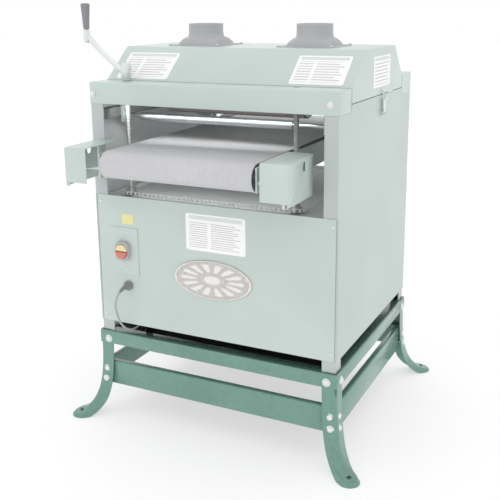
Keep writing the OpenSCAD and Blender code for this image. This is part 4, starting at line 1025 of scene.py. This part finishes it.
# ---------------------------------------------------------------- lift chain, lead and glands
def chain():
    """Roller chain round the four sprockets: a rounded rectangle of arc length s, with one link to each pitch."""
    x0, x1 = SCREWS[0][0], SCREWS[1][0]
    r, nominal_pitch = 0.0211, 0.0127
    w, d = x1 - x0, 2 * SCREWS[2][1]
    length = 2 * (w + d) + 2 * math.pi * r
    count = 2 * round(length / nominal_pitch / 2)
    pitch = length / count
    middle = np.array([(x0 + x1) / 2, 0.0])

    def at(s):
        """Points at the arc lengths s: four straight sides, each followed by a quarter circle."""
        sides = [w, d, w, d]
        start, point = 0.0, np.zeros((len(s), 2))
        for k, side in enumerate(sides):
            turn = k * math.pi / 2
            ahead = np.array([math.cos(turn), math.sin(turn)])
            left = np.array([-math.sin(turn), math.cos(turn)])
            other = sides[(k + 1) % 4]
            t = s - start
            on = (t >= 0) & (t < side)
            point[on] = middle - ahead * side / 2 - left * (other / 2 + r) + t[on][:, None] * ahead
            t = t - side
            on = (t >= 0) & (t < math.pi / 2 * r)
            a = t[on] / r
            centre = middle + ahead * side / 2 - left * other / 2
            point[on] = centre + r * (np.sin(a)[:, None] * ahead - np.cos(a)[:, None] * left)
            start += side + math.pi / 2 * r
        return point

    def block(outline, low, high):
        """A straight block between two heights over an outline."""
        rings = [facing("z", h, outline) for h in (low, high)]
        return np.concatenate(rings), capped(2, len(outline))

    roller = block(oval(0.0062, 0.0062, 10), -0.0026, 0.0026)
    pin = block(oval(0.0026, 0.0026, 6), -0.004, 0.004)
    a = np.concatenate([np.linspace(-np.pi / 2, np.pi / 2, 5), np.linspace(np.pi / 2, 3 * np.pi / 2, 5)])
    shift = np.repeat([pitch, 0.0], 5)
    side = np.stack([shift + 0.0029 * np.cos(a), 0.0029 * np.sin(a)], axis=1)
    side = np.insert(side, [5, 10], [(pitch / 2, 0.0021), (pitch / 2, -0.0021)], axis=0)
    spots = at(np.arange(count) * pitch)
    ahead = np.roll(spots, -1, axis=0) - spots
    head = np.arctan2(ahead[:, 1], ahead[:, 0])
    parts = []
    for k, gap in ((0, 0.0026), (1, 0.0033)):
        p, link_faces = joined(roller, pin, block(side, gap, gap + 0.0007), block(side, -gap - 0.0007, -gap))
        chosen = np.arange(k, count, 2)
        c, s = np.cos(head[chosen])[:, None], np.sin(head[chosen])[:, None]
        x = spots[chosen, 0][:, None] + c * p[:, 0] - s * p[:, 1]
        y = spots[chosen, 1][:, None] + s * p[:, 0] + c * p[:, 1]
        points = np.stack([x, y, Z_CHAIN + 0 * x + p[:, 2]], axis=-1).reshape(-1, 3)
        parts.append((points, [tuple(v + i * len(p) for v in f) for i in range(len(chosen)) for f in link_faces]))
    piece("lift_chain_links", joined(*parts), chain_steel, ROOT, ["lift_chain"], sharp=40)


LEAD_ROUTE = [(-244, -303, 382), (-244, -310, 381.5), (-245, -318, 379), (-247, -325, 374),
              (-250, -329, 367), (-253, -331, 358), (-256, -331, 348), (-259, -329, 338),
              (-261, -326, 328), (-262, -322, 318), (-262, -319, 308), (-261, -316, 298),
              (-260, -313, 288), (-258, -308, 278), (-255, -301, 268), (-251, -291, 259),
              (-246, -279, 255), (-241, -267, 256), (-237, -257, 261), (-234, -249, 269),
              (-232, -245, 278), (-232, -244, 287)]


def smoothed(points, steps=8):
    """Points on the Catmull-Rom curve through a route."""
    p = np.asarray(points, float)
    p = np.concatenate([[2 * p[0] - p[1]], p, [2 * p[-1] - p[-2]]])
    t = np.linspace(0, 1, steps, endpoint=False)[:, None]
    spans = [0.5 * (2 * b + (c - a) * t + (2 * a - 5 * b + 4 * c - d) * t ** 2 + (3 * b - a - 3 * c + d) * t ** 3)
             for a, b, c, d in zip(p, p[1:], p[2:], p[3:])]
    return np.concatenate(spans + [p[-2][None]])


def power_lead():
    """Lead with its ribbed strain relief and the two glands that hold its ends."""
    path = smoothed(np.array(LEAD_ROUTE) * MM)
    run = np.concatenate([[0], np.cumsum(np.linalg.norm(np.diff(path, axis=0), axis=1))])
    lead = piece("power_lead_sheath", swept(path, LEAD_R, 16, reference=(1, 0, 0)), lead_grey, ROOT, ["power_lead"],
                 sharp=60)
    relief_length = 0.024
    sleeve = path[run <= relief_length]
    share = run[run <= relief_length] / relief_length
    radius = 0.0060 - 0.0023 * share + 0.0003 * np.cos(share * 2 * np.pi * 5)
    piece("lead_relief", swept(sleeve, radius, 20, reference=(1, 0, 0)), gland_grey, ROOT,
          sharp=60)
    x, z = -0.243, 0.382
    flute = np.linspace(0, 2 * np.pi, 60, endpoint=False)
    levels = [(0.0, 0.0125, 0), (0.0055, 0.0128, 0), (0.0060, 0.0105, 0), (0.0075, 0.0098, 1), (0.0120, 0.0092, 1),
              (0.0150, 0.0080, 0.4), (0.0160, 0.0068, 0), (0.0160, 0.0044, 0), (0.0120, 0.0043, 0)]
    rings = []
    for h, r, depth in levels:
        wave = r - 0.0006 * depth * (0.5 + 0.5 * np.cos(12 * flute))
        rings.append(np.stack([x + wave * np.cos(flute), -HALF_Y - h + 0 * flute, z + wave * np.sin(flute)], axis=1))
    cap = (np.concatenate(rings), grid_faces(len(rings), 60, wrap=True))
    shelf = turned([(0.0044, -0.0045), (0.0068, -0.0045), (0.0075, -0.0035), (0.0075, 0.0), (0.0118, 0.0),
                    (0.012, 0.001), (0.012, 0.004), (0.0118, 0.005), (0.0078, 0.0055), (0.0075, 0.0125),
                    (0.0044, 0.0135), (0.0044, -0.0045)], (-0.232, -0.244, 0.2915), sides=36)
    piece("cable_gland_caps", joined(cap, shelf), gland_grey, ROOT, ["cable_glands"], sharp=40)


# ---------------------------------------------------------------- feed motor behind the table
def gear_motor():
    """Gear casing on the left side plate, with a ribbed motor barrel below it."""
    x1 = SIDE_L - 0.002
    casting = rounded_block((x1 - 0.070, FEED_Y - 0.038, Z_FEED - 0.040), (x1, FEED_Y + 0.038, Z_FEED + 0.026), 0.006)
    flange = rounded_block((x1 - 0.006, FEED_Y - 0.020, Z_FEED - 0.020), (x1 + 0.002, FEED_Y + 0.020, Z_FEED + 0.020),
                           0.002)
    top, low = Z_FEED - 0.039, Z_FEED - 0.175
    a = np.linspace(0, 2 * np.pi, 144, endpoint=False)
    levels = np.array([(low, 0.0, 0), (low, 0.030, 0), (low + 0.003, 0.0345, 0), (low + 0.030, 0.0352, 0),
                       (low + 0.0305, 0.0325, 0), (low + 0.036, 0.0325, 0), (low + 0.038, 0.0358, 1),
                       (top - 0.014, 0.0358, 1), (top - 0.011, 0.0325, 0), (top - 0.010, 0.0355, 0),
                       (top, 0.0355, 0)])
    rib_depth, rib_count = 0.0028, 36
    r = levels[:, 1:2] - rib_depth * levels[:, 2:3] * (0.5 + 0.5 * np.sign(np.cos(rib_count * a)))[None, :]
    points = np.stack([x1 - 0.035 + r * np.cos(a), FEED_Y + r * np.sin(a), levels[:, :1] + 0 * r], axis=-1)
    barrel = (points.reshape(-1, 3), grid_faces(len(levels), len(a), wrap=True))
    p, f = turned([(0, 0), (0.004, 0), (0.004, 0.0026), (0.0034, 0.0032), (0.0018, 0.0032), (0.0018, 0.0018),
                   (0, 0.0018)], sides=18)
    heads = [(p[:, (2, 0, 1)] * (-1, 1, 1) + (x1 - 0.070, FEED_Y + y, Z_FEED + z), f)
             for y in (-0.030, 0.030) for z in (-0.032, 0.018)]
    piece("feed_motor_casting", joined(casting, flange, barrel), motor_grey, "feed_table", ["gear_motor"],
          sharp=40)
    piece("feed_motor_screws", joined(*heads), zinc, "feed_table")


front_fittings()
badge()
plates()
chain()
power_lead()
table()
gear_motor()


# ---------------------------------------------------------------- light and floor
def studio():
    """Plain pale floor, an even pale surround and soft lamps, two of them small and inside the throat."""
    bpy.ops.mesh.primitive_plane_add(size=40.0, location=(0.0, 0.0, -0.0005))
    floor = bpy.context.object
    floor.name = "studio_floor"
    f = Finish("floor_paper", (0.46, 0.46, 0.46), 0.9)
    f.set("Emission Color", (1.0, 1.0, 1.0))
    f.set("Emission Strength", 0.56)
    f.bump(f.noise(60.0, 2.0), 0.05, 0.001)
    floor.data.materials.append(f.mat)
    world = bpy.data.worlds.new("studio_surround")
    world.use_nodes = True
    world.node_tree.nodes["Background"].inputs[0].default_value = (1.0, 1.0, 1.0, 1.0)
    world.node_tree.nodes["Background"].inputs[1].default_value = 1.0
    scene.world = world
    middle = (0.0, 0.0, 0.5)
    for name, place, aim, wide, high, power in (
        ("key_lamp", (-1.6, -3.0, 3.2), middle, 2.6, 2.6, 7.0),
        ("top_lamp", (0.3, 0.6, 4.2), middle, 3.2, 3.2, 2.0),
        ("back_lamp", (-2.2, 3.4, 2.6), middle, 2.6, 2.6, 4.0),
        ("throat_lamp", (-0.03, -0.238, 0.850), (-0.05, 0.06, 0.76), 0.50, 0.04, 0.44),
        ("deck_lamp", (-0.03, -0.268, 0.684), (-0.03, -0.10, 0.62), 0.44, 0.02, 0.14),
    ):
        data = bpy.data.lights.new(name, "AREA")
        data.shape, data.size, data.size_y, data.energy = "RECTANGLE", wide, high, power
        lamp = bpy.data.objects.new(name, data)
        lamp.location = place
        lamp.rotation_euler = (Vector(aim) - Vector(place)).to_track_quat("-Z", "Y").to_euler()
        lamp.visible_camera = False
        scene.collection.objects.link(lamp)


studio()
